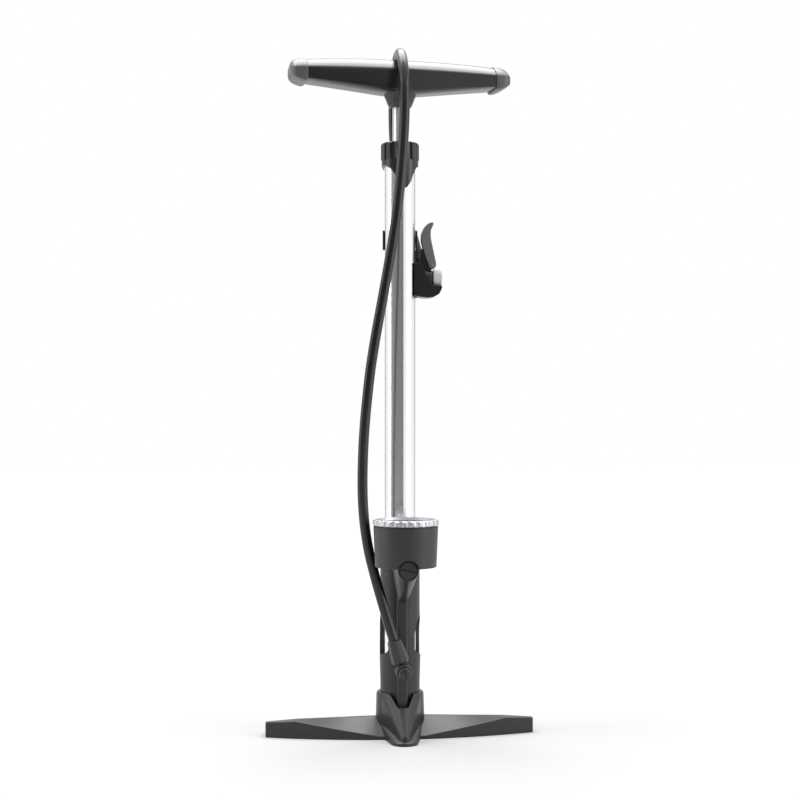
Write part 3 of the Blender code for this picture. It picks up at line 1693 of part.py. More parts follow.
def make_pump():
    black = look("black moulding", (0.030, 0.030, 0.033), 0.45)
    sleeve_black = look("sleeve black", (0.035, 0.035, 0.038), 0.42)
    gauge_black = look("gauge black", (0.045, 0.045, 0.050), 0.50)
    dark = look("dark grey moulding", (0.060, 0.060, 0.065), 0.45)
    grip = look("grip rubber", (0.055, 0.055, 0.060), 0.60)
    silver = look("polished aluminium", (0.80, 0.80, 0.82), 0.18, 1.0)
    steel = look("steel", (0.56, 0.56, 0.58), 0.30, 1.0)
    brass = look("brass", (0.72, 0.53, 0.25), 0.30, 1.0)
    chrome = look("chrome", (0.85, 0.85, 0.87), 0.10, 1.0)
    rubber = look("black rubber", (0.020, 0.020, 0.020), 0.75)
    hose_rubber = look("hose rubber", (0.024, 0.024, 0.026), 0.50)
    white = look("dial white", (0.85, 0.85, 0.84), 0.60)
    red = look("needle red", (0.60, 0.05, 0.04), 0.50)
    clear = look("clear plastic", (0.90, 0.92, 0.93), 0.05)
    pale = look("pale nozzle plastic", (0.50, 0.50, 0.52), 0.45)
    felt = look("felt", (0.25, 0.24, 0.22), 0.95)
    nylon = look("white nylon", (0.75, 0.75, 0.72), 0.55)

    make_foot(black)
    make_foot_screws(steel)
    make_sleeve(sleeve_black)
    make_barrel(silver)
    make_barrel_foot(brass, rubber, steel)
    make_gauge_housing(gauge_black)
    make_gauge_inside(brass, white, red, clear)
    make_bezel(chrome)
    make_port_plug(gauge_black, rubber)
    start, start_direction = make_hose_fitting(black, brass, rubber)
    make_cap(black, black, brass, felt)
    make_rod(silver)
    make_piston(nylon, rubber, nylon)
    make_handle(black, grip, steel)
    make_clip(black)
    end, end_direction = make_head(black, dark, pale, steel, rubber, brass)
    make_lever(dark, steel)
    route = smooth_route(hose_route(start, start_direction, end, end_direction), HOSE_STEP)
    tube("hose", route, HOSE_RADIUS, hose_rubber)
    length = sum((b - a).length for a, b in zip(route, route[1:]))
    print(f"hose: {length:.4f} m from boot to ferrule, {len(route)} points")


clear_scene()
PUMP = collection("bike_pump")
HELPERS = collection("cutters")
HANDLE_FRAME = empty("handle_frame", rotation=(0, 0, HANDLE_TURN))
HEAD_FRAME = empty("head_frame", (CLIP_RADIUS, 0, NOZZLE_HEIGHT))
LEVER_FRAME = empty(
    "lever_frame", (CLIP_RADIUS + PIVOT[0], 0, NOZZLE_HEIGHT + PIVOT[1]), (0, LEVER_LEAN, 0)
)
make_pump()
bpy.context.view_layer.update()
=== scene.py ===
"""Studio scene of a floor bike pump.

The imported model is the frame. Each sub-assembly is a class with its sizes as fields. It builds smooth meshes
in the same places as the frame's nodes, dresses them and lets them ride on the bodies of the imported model.
Metres, +Z up, the front of the pump faces -Y.
"""

from __future__ import annotations

import logging
import math
from dataclasses import dataclass, field
from enum import Enum
from typing import Iterable, Sequence

import bmesh
import bpy
from mathutils import Matrix, Vector

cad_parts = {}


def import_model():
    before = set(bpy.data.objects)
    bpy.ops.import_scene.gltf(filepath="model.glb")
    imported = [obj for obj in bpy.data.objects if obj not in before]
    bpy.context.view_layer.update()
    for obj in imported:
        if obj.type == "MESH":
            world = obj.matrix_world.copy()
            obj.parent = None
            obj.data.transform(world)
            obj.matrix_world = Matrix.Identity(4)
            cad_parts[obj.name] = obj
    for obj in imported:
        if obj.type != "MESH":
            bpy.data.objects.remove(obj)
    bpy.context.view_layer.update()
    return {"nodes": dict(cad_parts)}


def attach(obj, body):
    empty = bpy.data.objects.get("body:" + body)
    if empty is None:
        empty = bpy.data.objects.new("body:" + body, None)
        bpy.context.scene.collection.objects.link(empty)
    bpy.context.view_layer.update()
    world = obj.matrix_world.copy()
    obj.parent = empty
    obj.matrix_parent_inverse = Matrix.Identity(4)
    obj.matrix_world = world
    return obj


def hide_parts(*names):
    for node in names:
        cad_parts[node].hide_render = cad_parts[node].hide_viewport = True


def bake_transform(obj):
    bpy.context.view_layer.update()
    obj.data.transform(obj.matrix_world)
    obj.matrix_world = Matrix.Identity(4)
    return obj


LOG = logging.getLogger("pump_scene")
Pair = tuple[float, float]
Point = tuple[float, float, float]
Piece = bpy.types.Object
Tree = bpy.types.NodeTree
Node = bpy.types.Node
Socket = bpy.types.NodeSocket

CLEARANCE = 0.0003
ROUND = 96  # facets around a large turned piece
SMALL_ROUND = 48
BARREL_RADIUS = 0.0147
BARREL_BORE = 0.0132
BARREL_TOP = 0.541
SLEEVE_BORE = BARREL_RADIUS + CLEARANCE
SLEEVE_RADIUS = SLEEVE_BORE + 0.0035
RIB_FACE = SLEEVE_RADIUS + 0.006
ROD_RADIUS = 0.0072
CLIP_RADIUS = SLEEVE_BORE + 0.0023
GAUGE_RADIUS = 0.0294
GAUGE_FORWARD = SLEEVE_RADIUS + 0.0071 + GAUGE_RADIUS
POD_FACE = GAUGE_FORWARD + GAUGE_RADIUS - 0.006
POD_HEIGHT = 0.1615
NOZZLE_HEIGHT = 0.4287
FITTING_HEIGHT = 0.0645
BOOT_LEAN = math.radians(-17.5)
BOOT_END = 0.0303  # from the fitting's axis
FERRULE_END = 0.0252  # from the start of the head's tail

ON_AXIS = 1e-7  # a smaller radius counts as none
FACET_TURN = 0.013  # keeps the facets of two cylinders from falling together
WELD_REACH = 0.000002
FLAT_ANGLE = math.radians(0.3)
LARGEST_REACH = 0.45  # of an edge, for the rounding at one of its ends
FINE_STEPS = 40  # between two of a route's own points
WHITE = (1.0, 1.0, 1.0, 1.0)

UPRIGHT = Matrix.Rotation(math.pi / 2, 4, "X")  # an outline's Y goes up, its thickness along Y
SIDEWAYS = Matrix.Rotation(math.pi / 2, 4, "Z") @ UPRIGHT  # an outline's X goes back, its thickness along X
FORWARD = UPRIGHT  # a turned piece's +Z faces the front
RIGHTWARD = Matrix.Rotation(math.pi / 2, 4, "Y")  # a turned piece's +Z faces +X


class Body(Enum):
    """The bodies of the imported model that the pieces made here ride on."""

    BASE = "pump_base"
    PISTON = "piston_group"
    HANDLE = "handle_group"
    LEVER = "lever"


class Operation(Enum):
    """How one solid changes another."""

    JOIN = "UNION"
    CUT = "DIFFERENCE"
    KEEP = "INTERSECT"


# ---------------------------------------------------------------- shader groups


def add_node(tree: Tree, kind: str, **settings: object) -> Node:
    """Adds a node and sets its properties.

    Args:
        tree: The tree that gets the node.
        kind: The node's type name.
        settings: Properties of the node, by name.

    Returns:
        The new node.
    """
    made = tree.nodes.new(kind)
    for name, value in settings.items():
        setattr(made, name, value)
    return made


def wire(tree: Tree, start: Socket, end: Socket) -> None:
    """Links two sockets."""
    tree.links.new(start, end)


def fill(node: Node, values: dict[str, object]) -> None:
    """Sets a node's inputs by name."""
    for label, value in values.items():
        node.inputs[label].default_value = value


def math_node(
    tree: Tree, operation: str, first: object, second: object = None, clamp: bool = False
) -> Socket:
    """Adds a Math node whose inputs are sockets or numbers.

    Args:
        tree: The tree that gets the node.
        operation: Blender's name of the operation.
        first: A socket or a number.
        second: A socket, a number or nothing.
        clamp: Whether the result is held between 0 and 1.

    Returns:
        The node's output socket.
    """
    made = add_node(tree, "ShaderNodeMath", operation=operation, use_clamp=clamp)
    for socket, value in zip(made.inputs, (first, second)):
        if isinstance(value, Socket):
            wire(tree, value, socket)
        elif value is not None:
            socket.default_value = value
    return made.outputs[0]


def shader_group(
    name: str, inputs: Sequence[tuple[str, str, float]], outputs: Sequence[tuple[str, str]]
) -> tuple[Tree, Node, Node]:
    """Starts a shader node group.

    Args:
        name: The group's name.
        inputs: Name, socket type and default of each input.
        outputs: Name and socket type of each output.

    Returns:
        The tree, its input node and its output node.
    """
    tree = bpy.data.node_groups.new(name, "ShaderNodeTree")
    for label, kind, value in inputs:
        made = tree.interface.new_socket(label, in_out="INPUT", socket_type=kind)
        made.default_value = value
    for label, kind in outputs:
        tree.interface.new_socket(label, in_out="OUTPUT", socket_type=kind)
    return tree, tree.nodes.new("NodeGroupInput"), tree.nodes.new("NodeGroupOutput")


def noise(tree: Tree, place: Socket, scale: float, detail: float) -> Node:
    """Adds a Noise texture.

    Args:
        tree: The tree that gets the node.
        place: Where the texture is looked up.
        scale: The texture's scale.
        detail: How many finer layers it has.

    Returns:
        The node.
    """
    made = add_node(tree, "ShaderNodeTexNoise")
    fill(made, {"Scale": scale, "Detail": detail})
    wire(tree, place, made.inputs["Vector"])
    return made


def put_out(tree: Tree, given: Node, out: Node, height: Socket, pattern: Socket, amount: str) -> None:
    """Ends a group with its height, and with a roughness that swings with a pattern.

    Args:
        tree: The group.
        given: Its input node.
        out: Its output node.
        height: The height.
        pattern: What the roughness swings with, from 0 to 1.
        amount: The input that says how far it swings.
    """
    centred = math_node(tree, "SUBTRACT", pattern, 0.5)
    swing = math_node(tree, "MULTIPLY", centred, given.outputs[amount])
    rough = math_node(tree, "ADD", swing, given.outputs["Roughness"], clamp=True)
    wire(tree, height, out.inputs["Height"])
    wire(tree, rough, out.inputs["Roughness"])


def make_grain_group() -> Tree:
    """Moulded or rubber skin: a fine grain for the bump and slow patches in the roughness.

    Returns:
        A group that puts out a height and a roughness.
    """
    number = "NodeSocketFloat"
    tree, given, out = shader_group(
        "Moulded grain",
        (("Grain Scale", number, 2600.0), ("Roughness", number, 0.4), ("Patchiness", number, 0.08)),
        (("Height", number), ("Roughness", number)),
    )
    place = add_node(tree, "ShaderNodeTexCoord").outputs["Object"]
    grain = noise(tree, place, 1.0, 3.0)
    wire(tree, given.outputs["Grain Scale"], grain.inputs["Scale"])
    patches = noise(tree, place, 38.0, 4.0)
    put_out(tree, given, out, grain.outputs[0], patches.outputs[0], "Patchiness")
    return tree


def make_streak_group() -> Tree:
    """Drawn or polished metal: fine streaks along one axis.

    Returns:
        A group that puts out a height and a roughness.
    """
    number = "NodeSocketFloat"
    tree, given, out = shader_group(
        "Drawn streaks",
        (
            ("Across Scale", number, 900.0),
            ("Along Scale", number, 6.0),
            ("Roughness", number, 0.2),
            ("Spread", number, 0.06),
        ),
        (("Height", number), ("Roughness", number)),
    )
    stretch = add_node(tree, "ShaderNodeCombineXYZ")
    for axis, label in (("X", "Across Scale"), ("Y", "Across Scale"), ("Z", "Along Scale")):
        wire(tree, given.outputs[label], stretch.inputs[axis])
    scaled = add_node(tree, "ShaderNodeVectorMath", operation="MULTIPLY")
    wire(tree, add_node(tree, "ShaderNodeTexCoord").outputs["Object"], scaled.inputs[0])
    wire(tree, stretch.outputs[0], scaled.inputs[1])
    streaks = noise(tree, scaled.outputs[0], 1.0, 3.0).outputs[0]
    put_out(tree, given, out, streaks, streaks, "Spread")
    return tree


def make_wear_group() -> Tree:
    """Handling and dust: a slow mottling that lightens a colour a little, more on faces that look up.

    Returns:
        A group that puts out a colour.
    """
    tree, given, out = shader_group(
        "Settled dust",
        (("Amount", "NodeSocketFloat", 0.2),),
        (("Color", "NodeSocketColor"),),
    )
    for label, colour in (("Color", (0.03, 0.03, 0.03, 1.0)), ("Dust Color", (0.36, 0.35, 0.34, 1.0))):
        made = tree.interface.new_socket(label, in_out="INPUT", socket_type="NodeSocketColor")
        made.default_value = colour
    place = add_node(tree, "ShaderNodeTexCoord")
    shape = add_node(tree, "ShaderNodeNewGeometry")
    split = add_node(tree, "ShaderNodeSeparateXYZ")
    wire(tree, shape.outputs["Normal"], split.inputs[0])
    up = math_node(tree, "MAXIMUM", split.outputs["Z"], 0.12)
    mottle = noise(tree, place.outputs["Object"], 130.0, 6.0)
    share = math_node(tree, "MULTIPLY", up, mottle.outputs[0])
    share = math_node(tree, "MULTIPLY", share, given.outputs["Amount"], clamp=True)
    mix = add_node(tree, "ShaderNodeMix", data_type="RGBA")
    wire(tree, share, mix.inputs["Factor"])
    wire(tree, given.outputs["Color"], mix.inputs[6])
    wire(tree, given.outputs["Dust Color"], mix.inputs[7])
    wire(tree, mix.outputs[2], out.inputs["Color"])
    return tree


# ---------------------------------------------------------------- finishes


@dataclass(frozen=True)
class Moulding:
    """A moulded plastic, rubber, felt or paint finish."""

    name: str
    slot: str
    colour: Point
    roughness: float
    grain_scale: float = 2600.0
    grain_depth: float = 0.00004
    patchiness: float = 0.10
    dust: float = 0.03
    bump: float = 0.5

    def build(self, groups: dict[str, Tree]) -> bpy.types.Material:
        """Makes the material.

        Args:
            groups: The shared shader groups, by name.

        Returns:
            The material.
        """
        values = {"Grain Scale": self.grain_scale, "Roughness": self.roughness, "Patchiness": self.patchiness}
        made, tree, shader = patterned(
            self.name, self.colour, groups["grain"], values, self.bump, self.grain_depth,
        )
        if self.dust:
            dust = add_node(tree, "ShaderNodeGroup", node_tree=groups["wear"])
            fill(dust, {"Amount": self.dust, "Color": (*self.colour, 1.0)})
            wire(tree, dust.outputs["Color"], shader.inputs["Base Color"])
        return made


@dataclass(frozen=True)
class Metal:
    """A drawn, turned or plated metal finish."""

    name: str
    slot: str
    colour: Point
    roughness: float
    across: float = 900.0
    along: float = 6.0
    spread: float = 0.06
    depth: float = 0.00001
    bump: float = 0.3

    def build(self, groups: dict[str, Tree]) -> bpy.types.Material:
        """Makes the material.

        Args:
            groups: The shared shader groups, by name.

        Returns:
            The material.
        """
        values = {
            "Across Scale": self.across,
            "Along Scale": self.along,
            "Roughness": self.roughness,
            "Spread": self.spread,
        }
        made, _, shader = patterned(self.name, self.colour, groups["streaks"], values, self.bump, self.depth)
        shader.inputs["Metallic"].default_value = 1.0
        return made


@dataclass(frozen=True)
class Clear:
    """A clear plastic."""

    name: str
    slot: str
    colour: Point
    roughness: float = 0.08
    opacity: float = 0.10
    refraction: float = 1.49

    def build(self, groups: dict[str, Tree]) -> bpy.types.Material:
        """Makes the material.

        Args:
            groups: The shared shader groups, which a clear plastic doesn't need.

        Returns:
            The material.
        """
        made, _, shader = new_material(self.name)
        fill(shader, {"Base Color": (*self.colour, 1.0), "Roughness": self.roughness})
        fill(shader, {"IOR": self.refraction, "Alpha": self.opacity})
        return made


def new_material(name: str) -> tuple[bpy.types.Material, Tree, Node]:
    """Starts a material.

    Args:
        name: The material's name.

    Returns:
        The material, its tree and its Principled shader.
    """
    made = bpy.data.materials.new(name)
    made.use_nodes = True
    return made, made.node_tree, made.node_tree.nodes["Principled BSDF"]


def patterned(
    name: str, colour: Point, group: Tree, values: dict[str, float], strength: float, depth: float
) -> tuple[bpy.types.Material, Tree, Node]:
    """Starts a material whose bump and roughness come from a shader group.

    Args:
        name: The material's name.
        colour: Its base colour.
        group: The shader group.
        values: The group's inputs.
        strength: The bump's strength.
        depth: The bump's depth.

    Returns:
        The material, its tree and its Principled shader.
    """
    made, tree, shader = new_material(name)
    pattern = add_node(tree, "ShaderNodeGroup", node_tree=group)
    fill(pattern, values)
    bump = add_node(tree, "ShaderNodeBump")
    fill(bump, {"Strength": strength, "Distance": depth})
    wire(tree, pattern.outputs["Height"], bump.inputs["Height"])
    wire(tree, bump.outputs[0], shader.inputs["Normal"])
    wire(tree, pattern.outputs["Roughness"], shader.inputs["Roughness"])
    shader.inputs["Base Color"].default_value = (*colour, 1.0)
    return made, tree, shader


FINISHES: dict[str, Moulding | Metal | Clear] = {
    "foot": Moulding("Foot black", "black_plastic", (0.021, 0.021, 0.023), 0.38, 2100.0, 0.00006),
    "moulding": Moulding("Semi-gloss black", "black_plastic", (0.013, 0.013, 0.014), 0.28),
    "sleeve": Moulding("Sleeve black", "sleeve_plastic", (0.020, 0.020, 0.023), 0.42),
    "gauge": Moulding("Gauge grey-black", "gauge_plastic", (0.026, 0.026, 0.029), 0.42, 1900.0, 0.00005),
    "plug": Moulding("Port plug black", "gauge_plastic", (0.022, 0.022, 0.024), 0.40),
    "handle": Moulding("Handle black", "black_plastic", (0.013, 0.013, 0.016), 0.24, 1800.0, 0.00002, 0.05),
    "grip": Moulding("End cap grey-black", "grip_plastic", (0.105, 0.105, 0.112), 0.36, 1600.0, 0.00005),
    "lever": Moulding("Lever grey-black", "black_plastic", (0.185, 0.185, 0.195), 0.30),
    "rubber": Moulding("Seal rubber", "rubber", (0.018, 0.018, 0.018), 0.70),
    "hose": Moulding("Hose rubber", "hose_rubber", (0.006, 0.006, 0.007), 0.28, 1500.0, 0.00003),
    "boot": Moulding("Boot rubber", "black_plastic", (0.028, 0.028, 0.031), 0.36),
    "pale": Moulding("Pale nozzle plastic", "pale_plastic", (0.74, 0.74, 0.76), 0.38),
    "dial": Moulding("Dial white", "dial_white", (0.84, 0.84, 0.83), 0.55, dust=0.0),
    "ink": Moulding("Dial ink", "dial_white", (0.020, 0.020, 0.022), 0.60, dust=0.0),
    "needle": Moulding("Needle red", "needle_red", (0.58, 0.030, 0.025), 0.42, dust=0.0),
    "felt": Moulding("Felt", "felt", (0.22, 0.21, 0.20), 0.95, 900.0, 0.0003),
    "nylon": Moulding("Natural nylon", "nylon", (0.72, 0.72, 0.68), 0.50),
    "silver": Metal("Polished tube", "silver_tube", (0.86, 0.86, 0.88), 0.21),
    "rod": Metal("Ground rod", "silver_tube", (0.62, 0.62, 0.64), 0.30),
    "steel": Metal("Bright steel", "steel", (0.60, 0.60, 0.62), 0.28, 1500.0, 60.0),
    "brass": Metal("Turned brass", "brass", (0.74, 0.55, 0.27), 0.26, 200.0, 2600.0),
    "chrome": Metal("Plated ring", "chrome", (0.55, 0.56, 0.58), 0.42, 120.0, 40.0, 0.04, 0.000002),
    "clear": Clear("Lens plastic", "clear", (0.90, 0.93, 0.95)),
}


# ---------------------------------------------------------------- meshes


def linked(name: str, data: bpy.types.ID) -> Piece:
    """Makes an object from its data and links it to the scene."""
    made = bpy.data.objects.new(name, data)
    bpy.context.scene.collection.objects.link(made)
    return made


def evaluated(piece: Piece) -> bpy.types.Mesh:
    """The mesh that an object comes out as, with its modifiers, curve or text."""
    deps = bpy.context.evaluated_depsgraph_get()
    return bpy.data.meshes.new_from_object(piece.evaluated_get(deps))


def settled(name: str, piece: Piece) -> Piece:
    """Swaps an object for a new one with the plain mesh that it comes out as."""
    mesh = evaluated(piece)
    bpy.data.objects.remove(piece, do_unlink=True)
    return linked(name, mesh)


def polar(radius: float, angle: float) -> Pair:
    """A point at a radius and an angle around the origin."""
    return radius * math.cos(angle), radius * math.sin(angle)


def quarter(centre: Pair, wide: float, tall: float, degrees: Iterable[float]) -> list[Pair]:
    """Points on the upper right quarter of an ellipse.

    Args:
        centre: The ellipse's centre.
        wide: Half its width.
        tall: Half its height.
        degrees: The points' angles, counted from the top.

    Returns:
        The points.
    """
    x, y = centre
    return [(x + wide * math.sin(a), y + tall * math.cos(a)) for a in map(math.radians, degrees)]


def shift(x: float, y: float, z: float) -> Matrix:
    """A move by a distance along each axis."""
    return Matrix.Translation((x, y, z))


def spin(angle: float, axis: str) -> Matrix:
    """A turn by an angle in radians about an axis through the origin."""
    return Matrix.Rotation(angle, 4, axis)


def object_of(name: str, bm: bmesh.types.BMesh) -> Piece:
    """Makes an object from a bmesh, with its faces pointing outwards.

    Args:
        name: The object's name.
        bm: The geometry, which is freed.

    Returns:
        The object, linked to the scene.
    """
    bmesh.ops.recalc_face_normals(bm, faces=bm.faces)
    mesh = bpy.data.meshes.new(name)
    bm.to_mesh(mesh)
    bm.free()
    return linked(name, mesh)


def placed(piece: Piece, place: Matrix) -> Piece:
    """Moves a piece's mesh, and leaves its object at the origin."""
    piece.data.transform(place)
    if place.determinant() < 0:
        piece.data.flip_normals()
    return piece


def turned(name: str, profile: Sequence[Pair], ring: bool = False, steps: int = ROUND) -> Piece:
    """Turns a profile around Z.

    Args:
        name: The object's name.
        profile: Radius and height pairs, from the top of the outer side down.
        ring: Whether the profile is closed around a bore.
        steps: Facets around.

    Returns:
        The turned solid.
    """
    bm = bmesh.new()
    columns: list[list[bmesh.types.BMVert]] = []
    for radius, height in profile:
        if radius < ON_AXIS:
            columns.append([bm.verts.new((0, 0, height))] * steps)
            continue
        around = [polar(radius, math.tau * i / steps) for i in range(steps)]
        columns.append([bm.verts.new((x, y, height)) for x, y in around])
    pairs = list(zip(columns, columns[1:]))
    if ring:
        pairs.append((columns[-1], columns[0]))
    for upper, lower in pairs:
        for i in range(steps):
            j = (i + 1) % steps
            corners = list(dict.fromkeys((upper[i], upper[j], lower[j], lower[i])))
            if len(corners) > 2:
                bm.faces.new(corners)
    return object_of(name, bm)


def rounded_profile(points: Sequence[Pair], radius: float, ring: bool = False, steps: int = 4) -> list[Pair]:
    """Rounds the corners of a profile or an outline.

    Args:
        points: The corners.
        radius: The rounding's reach along each edge.
        ring: Whether the outline is closed.
        steps: Points on each rounded corner.

    Returns:
        The points of the rounded outline.
    """
    made: list[Pair] = []
    count = len(points)
    for i, point in enumerate(points):
        here = Vector(point)
        if not ring and i in (0, count - 1):
            made.append((here.x, here.y))
            continue
        before, after = Vector(points[i - 1]) - here, Vector(points[(i + 1) % count]) - here
        reach = min(radius, LARGEST_REACH * before.length, LARGEST_REACH * after.length)
        start, end = here + before.normalized() * reach, here + after.normalized() * reach
        for step in range(steps + 1):
            t = step / steps
            spot = (1 - t) ** 2 * start + 2 * t * (1 - t) * here + t**2 * end
            made.append((spot.x, spot.y))
    return made


def plate(name: str, outline: Sequence[Pair], thickness: float, place: Matrix | None = None) -> Piece:
    """Extrudes an outline in the XY plane, half the thickness to either side.

    Args:
        name: The object's name.
        outline: The outline's points.
        thickness: The plate's thickness.
        place: Where the plate goes.

    Returns:
        The plate.
    """
    bm = bmesh.new()
    low = [bm.verts.new((x, y, -thickness / 2)) for x, y in outline]
    high = [bm.verts.new((x, y, thickness / 2)) for x, y in outline]
    bm.faces.new(list(reversed(low)))
    bm.faces.new(high)
    for i in range(len(low)):
        j = (i + 1) % len(low)
        bm.faces.new((low[i], low[j], high[j], high[i]))
    made = object_of(name, bm)
    return placed(made, place) if place else made


def block(name: str, low: Point, high: Point, place: Matrix | None = None) -> Piece:
    """A box between two corners."""
    size = [b - a for a, b in zip(low, high)]
    centre = [(a + b) / 2 for a, b in zip(low, high)]
    bm = bmesh.new()
    bmesh.ops.create_cube(bm, size=1, matrix=Matrix.Translation(centre) @ Matrix.Diagonal((*size, 1)))
    made = object_of(name, bm)
    return placed(made, place) if place else made


def cylinder(
    name: str, radius: float, start: Point | Vector, end: Point | Vector, facets: int = SMALL_ROUND,
) -> Piece:
    """A cylinder between two points."""
    start, end = Vector(start), Vector(end)
    turn = (end - start).to_track_quat("Z", "Y").to_matrix().to_4x4() @ Matrix.Rotation(FACET_TURN, 4, "Z")
    bm = bmesh.new()
    bmesh.ops.create_cone(
        bm,
        cap_ends=True,
        segments=facets,
        radius1=radius,
        radius2=radius,
        depth=(end - start).length,
        matrix=Matrix.Translation((start + end) / 2) @ turn,
    )
    return object_of(name, bm)


def circle(radius: float, centre: Point, facets: int = SMALL_ROUND, facing: str = "Z") -> list[Vector]:
    """Points around a circle that lies square to an axis."""
    points = []
    for i in range(facets):
        a, b = polar(radius, math.tau * i / facets)
        points.append(Vector(centre) + Vector((a, 0, b) if facing == "Y" else (a, b, 0)))
    return points


def front_bore(
    name: str, radius: float, start: float, end: float, height: float, facets: int = SMALL_ROUND
) -> Piece:
    """A cylinder from front to back in the middle, at a height."""
    return cylinder(name, radius, (0, start, height), (0, end, height), facets)


def hull(name: str, points: Iterable[Vector]) -> Piece:
    """The smallest convex solid around points."""
    bm = bmesh.new()
    for point in points:
        bm.verts.new(point)
    made = bmesh.ops.convex_hull(bm, input=bm.verts)
    spare = {v for v in made["geom_interior"] + made["geom_unused"] if isinstance(v, bmesh.types.BMVert)}
    bmesh.ops.delete(bm, geom=list(spare), context="VERTS")
    bmesh.ops.dissolve_limit(bm, angle_limit=FLAT_ANGLE, verts=bm.verts, edges=bm.edges)
    return object_of(name, bm)


def loft(name: str, sections: Sequence[Sequence[Point]]) -> Piece:
    """Skins closed sections of equal point counts and closes both ends.

    Args:
        name: The object's name.
        sections: The sections, each a closed loop of points.

    Returns:
        The lofted solid.
    """
    bm = bmesh.new()
    loops = [[bm.verts.new(point) for point in section] for section in sections]
    for near, far in zip(loops, loops[1:]):
        for i in range(len(near)):
            j = (i + 1) % len(near)
            bm.faces.new((near[i], near[j], far[j], far[i]))
    bm.faces.new(loops[-1])
    bm.faces.new(list(reversed(loops[0])))
    return object_of(name, bm)


def applied(piece: Piece) -> Piece:
    """Turns a piece's modifiers into plain mesh."""
    mesh = evaluated(piece)
    old = piece.data
    piece.modifiers.clear()
    piece.data = mesh
    if isinstance(old, bpy.types.Mesh):
        bpy.data.meshes.remove(old)
    return piece


def bevelled(piece: Piece, width: float, segments: int = 3, angle: float = 28.0) -> Piece:
    """Rounds a piece's edges that are sharper than an angle."""
    made = piece.modifiers.new("Rounded edges", "BEVEL")
    made.width = width
    made.segments = segments
    made.limit_method = "ANGLE"
    made.angle_limit = math.radians(angle)
    made.use_clamp_overlap = True
    return applied(piece)


def combine(piece: Piece, operation: Operation, *others: Piece) -> Piece:
    """Joins to, cuts from or keeps of a piece what the other solids cover.

    Args:
        piece: The solid that changes.
        operation: What the others do to it.
        others: The other solids, which are used up.

    Returns:
        The piece.
    """
    for other in others:
        made = piece.modifiers.new(other.name, "BOOLEAN")
        made.operation = operation.value
        made.solver = "EXACT"
        made.object = other
    applied(piece)
    for other in others:
        bpy.data.objects.remove(other, do_unlink=True)
    return welded(piece)


def join(piece: Piece, *others: Piece) -> Piece:
    """Joins other solids to a piece."""
    return combine(piece, Operation.JOIN, *others)


def cut(piece: Piece, *others: Piece) -> Piece:
    """Cuts other solids from a piece."""
    return combine(piece, Operation.CUT, *others)


def gathered(name: str, parts: Sequence[Piece]) -> Piece:
    """Gathers the meshes of several solids into one piece, without a Boolean."""
    bm = bmesh.new()
    for part in parts:
        bm.from_mesh(part.data)
        bpy.data.objects.remove(part, do_unlink=True)
    mesh = bpy.data.meshes.new(name)
    bm.to_mesh(mesh)
    bm.free()
    return linked(name, mesh)


def welded(piece: Piece) -> Piece:
    """Merges the points where a piece's parts meet, and turns its faces outwards."""
    bm = bmesh.new()
    bm.from_mesh(piece.data)
    bmesh.ops.remove_doubles(bm, verts=bm.verts, dist=WELD_REACH)
    bmesh.ops.recalc_face_normals(bm, faces=bm.faces)
    bm.to_mesh(piece.data)
    bm.free()
    return piece


def geometry_tree(name: str, inputs: dict[str, str]) -> tuple[Tree, Node, Node]:
    """Starts a Geometry Nodes tree that takes a shape, numbers and a finish.

    Args:
        name: The tree's name.
        inputs: The socket type of each number, by name.

    Returns:
        The tree, its input node and its output node.
    """
    tree = bpy.data.node_groups.new(name, "GeometryNodeTree")
    for label, kind in {"Geometry": "Geometry", **inputs, "Finish": "Material"}.items():
        tree.interface.new_socket(label, in_out="INPUT", socket_type=f"NodeSocket{kind}")
    tree.interface.new_socket("Geometry", in_out="OUTPUT", socket_type="NodeSocketGeometry")
    return tree, tree.nodes.new("NodeGroupInput"), tree.nodes.new("NodeGroupOutput")


def dress_shape(tree: Tree, given: Node, out: Node, shape: Socket) -> None:
    """Ends a Geometry Nodes tree: makes a shape's instances real and gives them the finish.

    Args:
        tree: The tree.
        given: Its input node.
        out: Its output node.
        shape: The shape.
    """
    real = add_node(tree, "GeometryNodeRealizeInstances")
    wire(tree, shape, real.inputs[0])
    dress = add_node(tree, "GeometryNodeSetMaterial")
    wire(tree, real.outputs[0], dress.inputs["Geometry"])
    wire(tree, given.outputs["Finish"], dress.inputs["Material"])
    wire(tree, dress.outputs[0], out.inputs[0])


def make_ring_tree() -> Tree:
    """A Geometry Nodes tree that repeats a shape around Z.

    Returns:
        The tree, with the inputs Count, Start, Step and Finish.
    """
    inputs = {"Count": "Int", "Start": "Float", "Step": "Float"}
    tree, given, out = geometry_tree("Repeat around the axis", inputs)
    points = add_node(tree, "GeometryNodePoints")
    wire(tree, given.outputs["Count"], points.inputs["Count"])
    index = add_node(tree, "GeometryNodeInputIndex")
    turn = math_node(tree, "MULTIPLY", index.outputs[0], given.outputs["Step"])
    turn = math_node(tree, "ADD", turn, given.outputs["Start"])
    rotation = add_node(tree, "ShaderNodeCombineXYZ")
    wire(tree, turn, rotation.inputs["Z"])
    place = add_node(tree, "GeometryNodeInstanceOnPoints")
    wire(tree, points.outputs[0], place.inputs["Points"])
    wire(tree, given.outputs["Geometry"], place.inputs["Instance"])
    wire(tree, rotation.outputs[0], place.inputs["Rotation"])
    dress_shape(tree, given, out, place.outputs[0])
    return tree


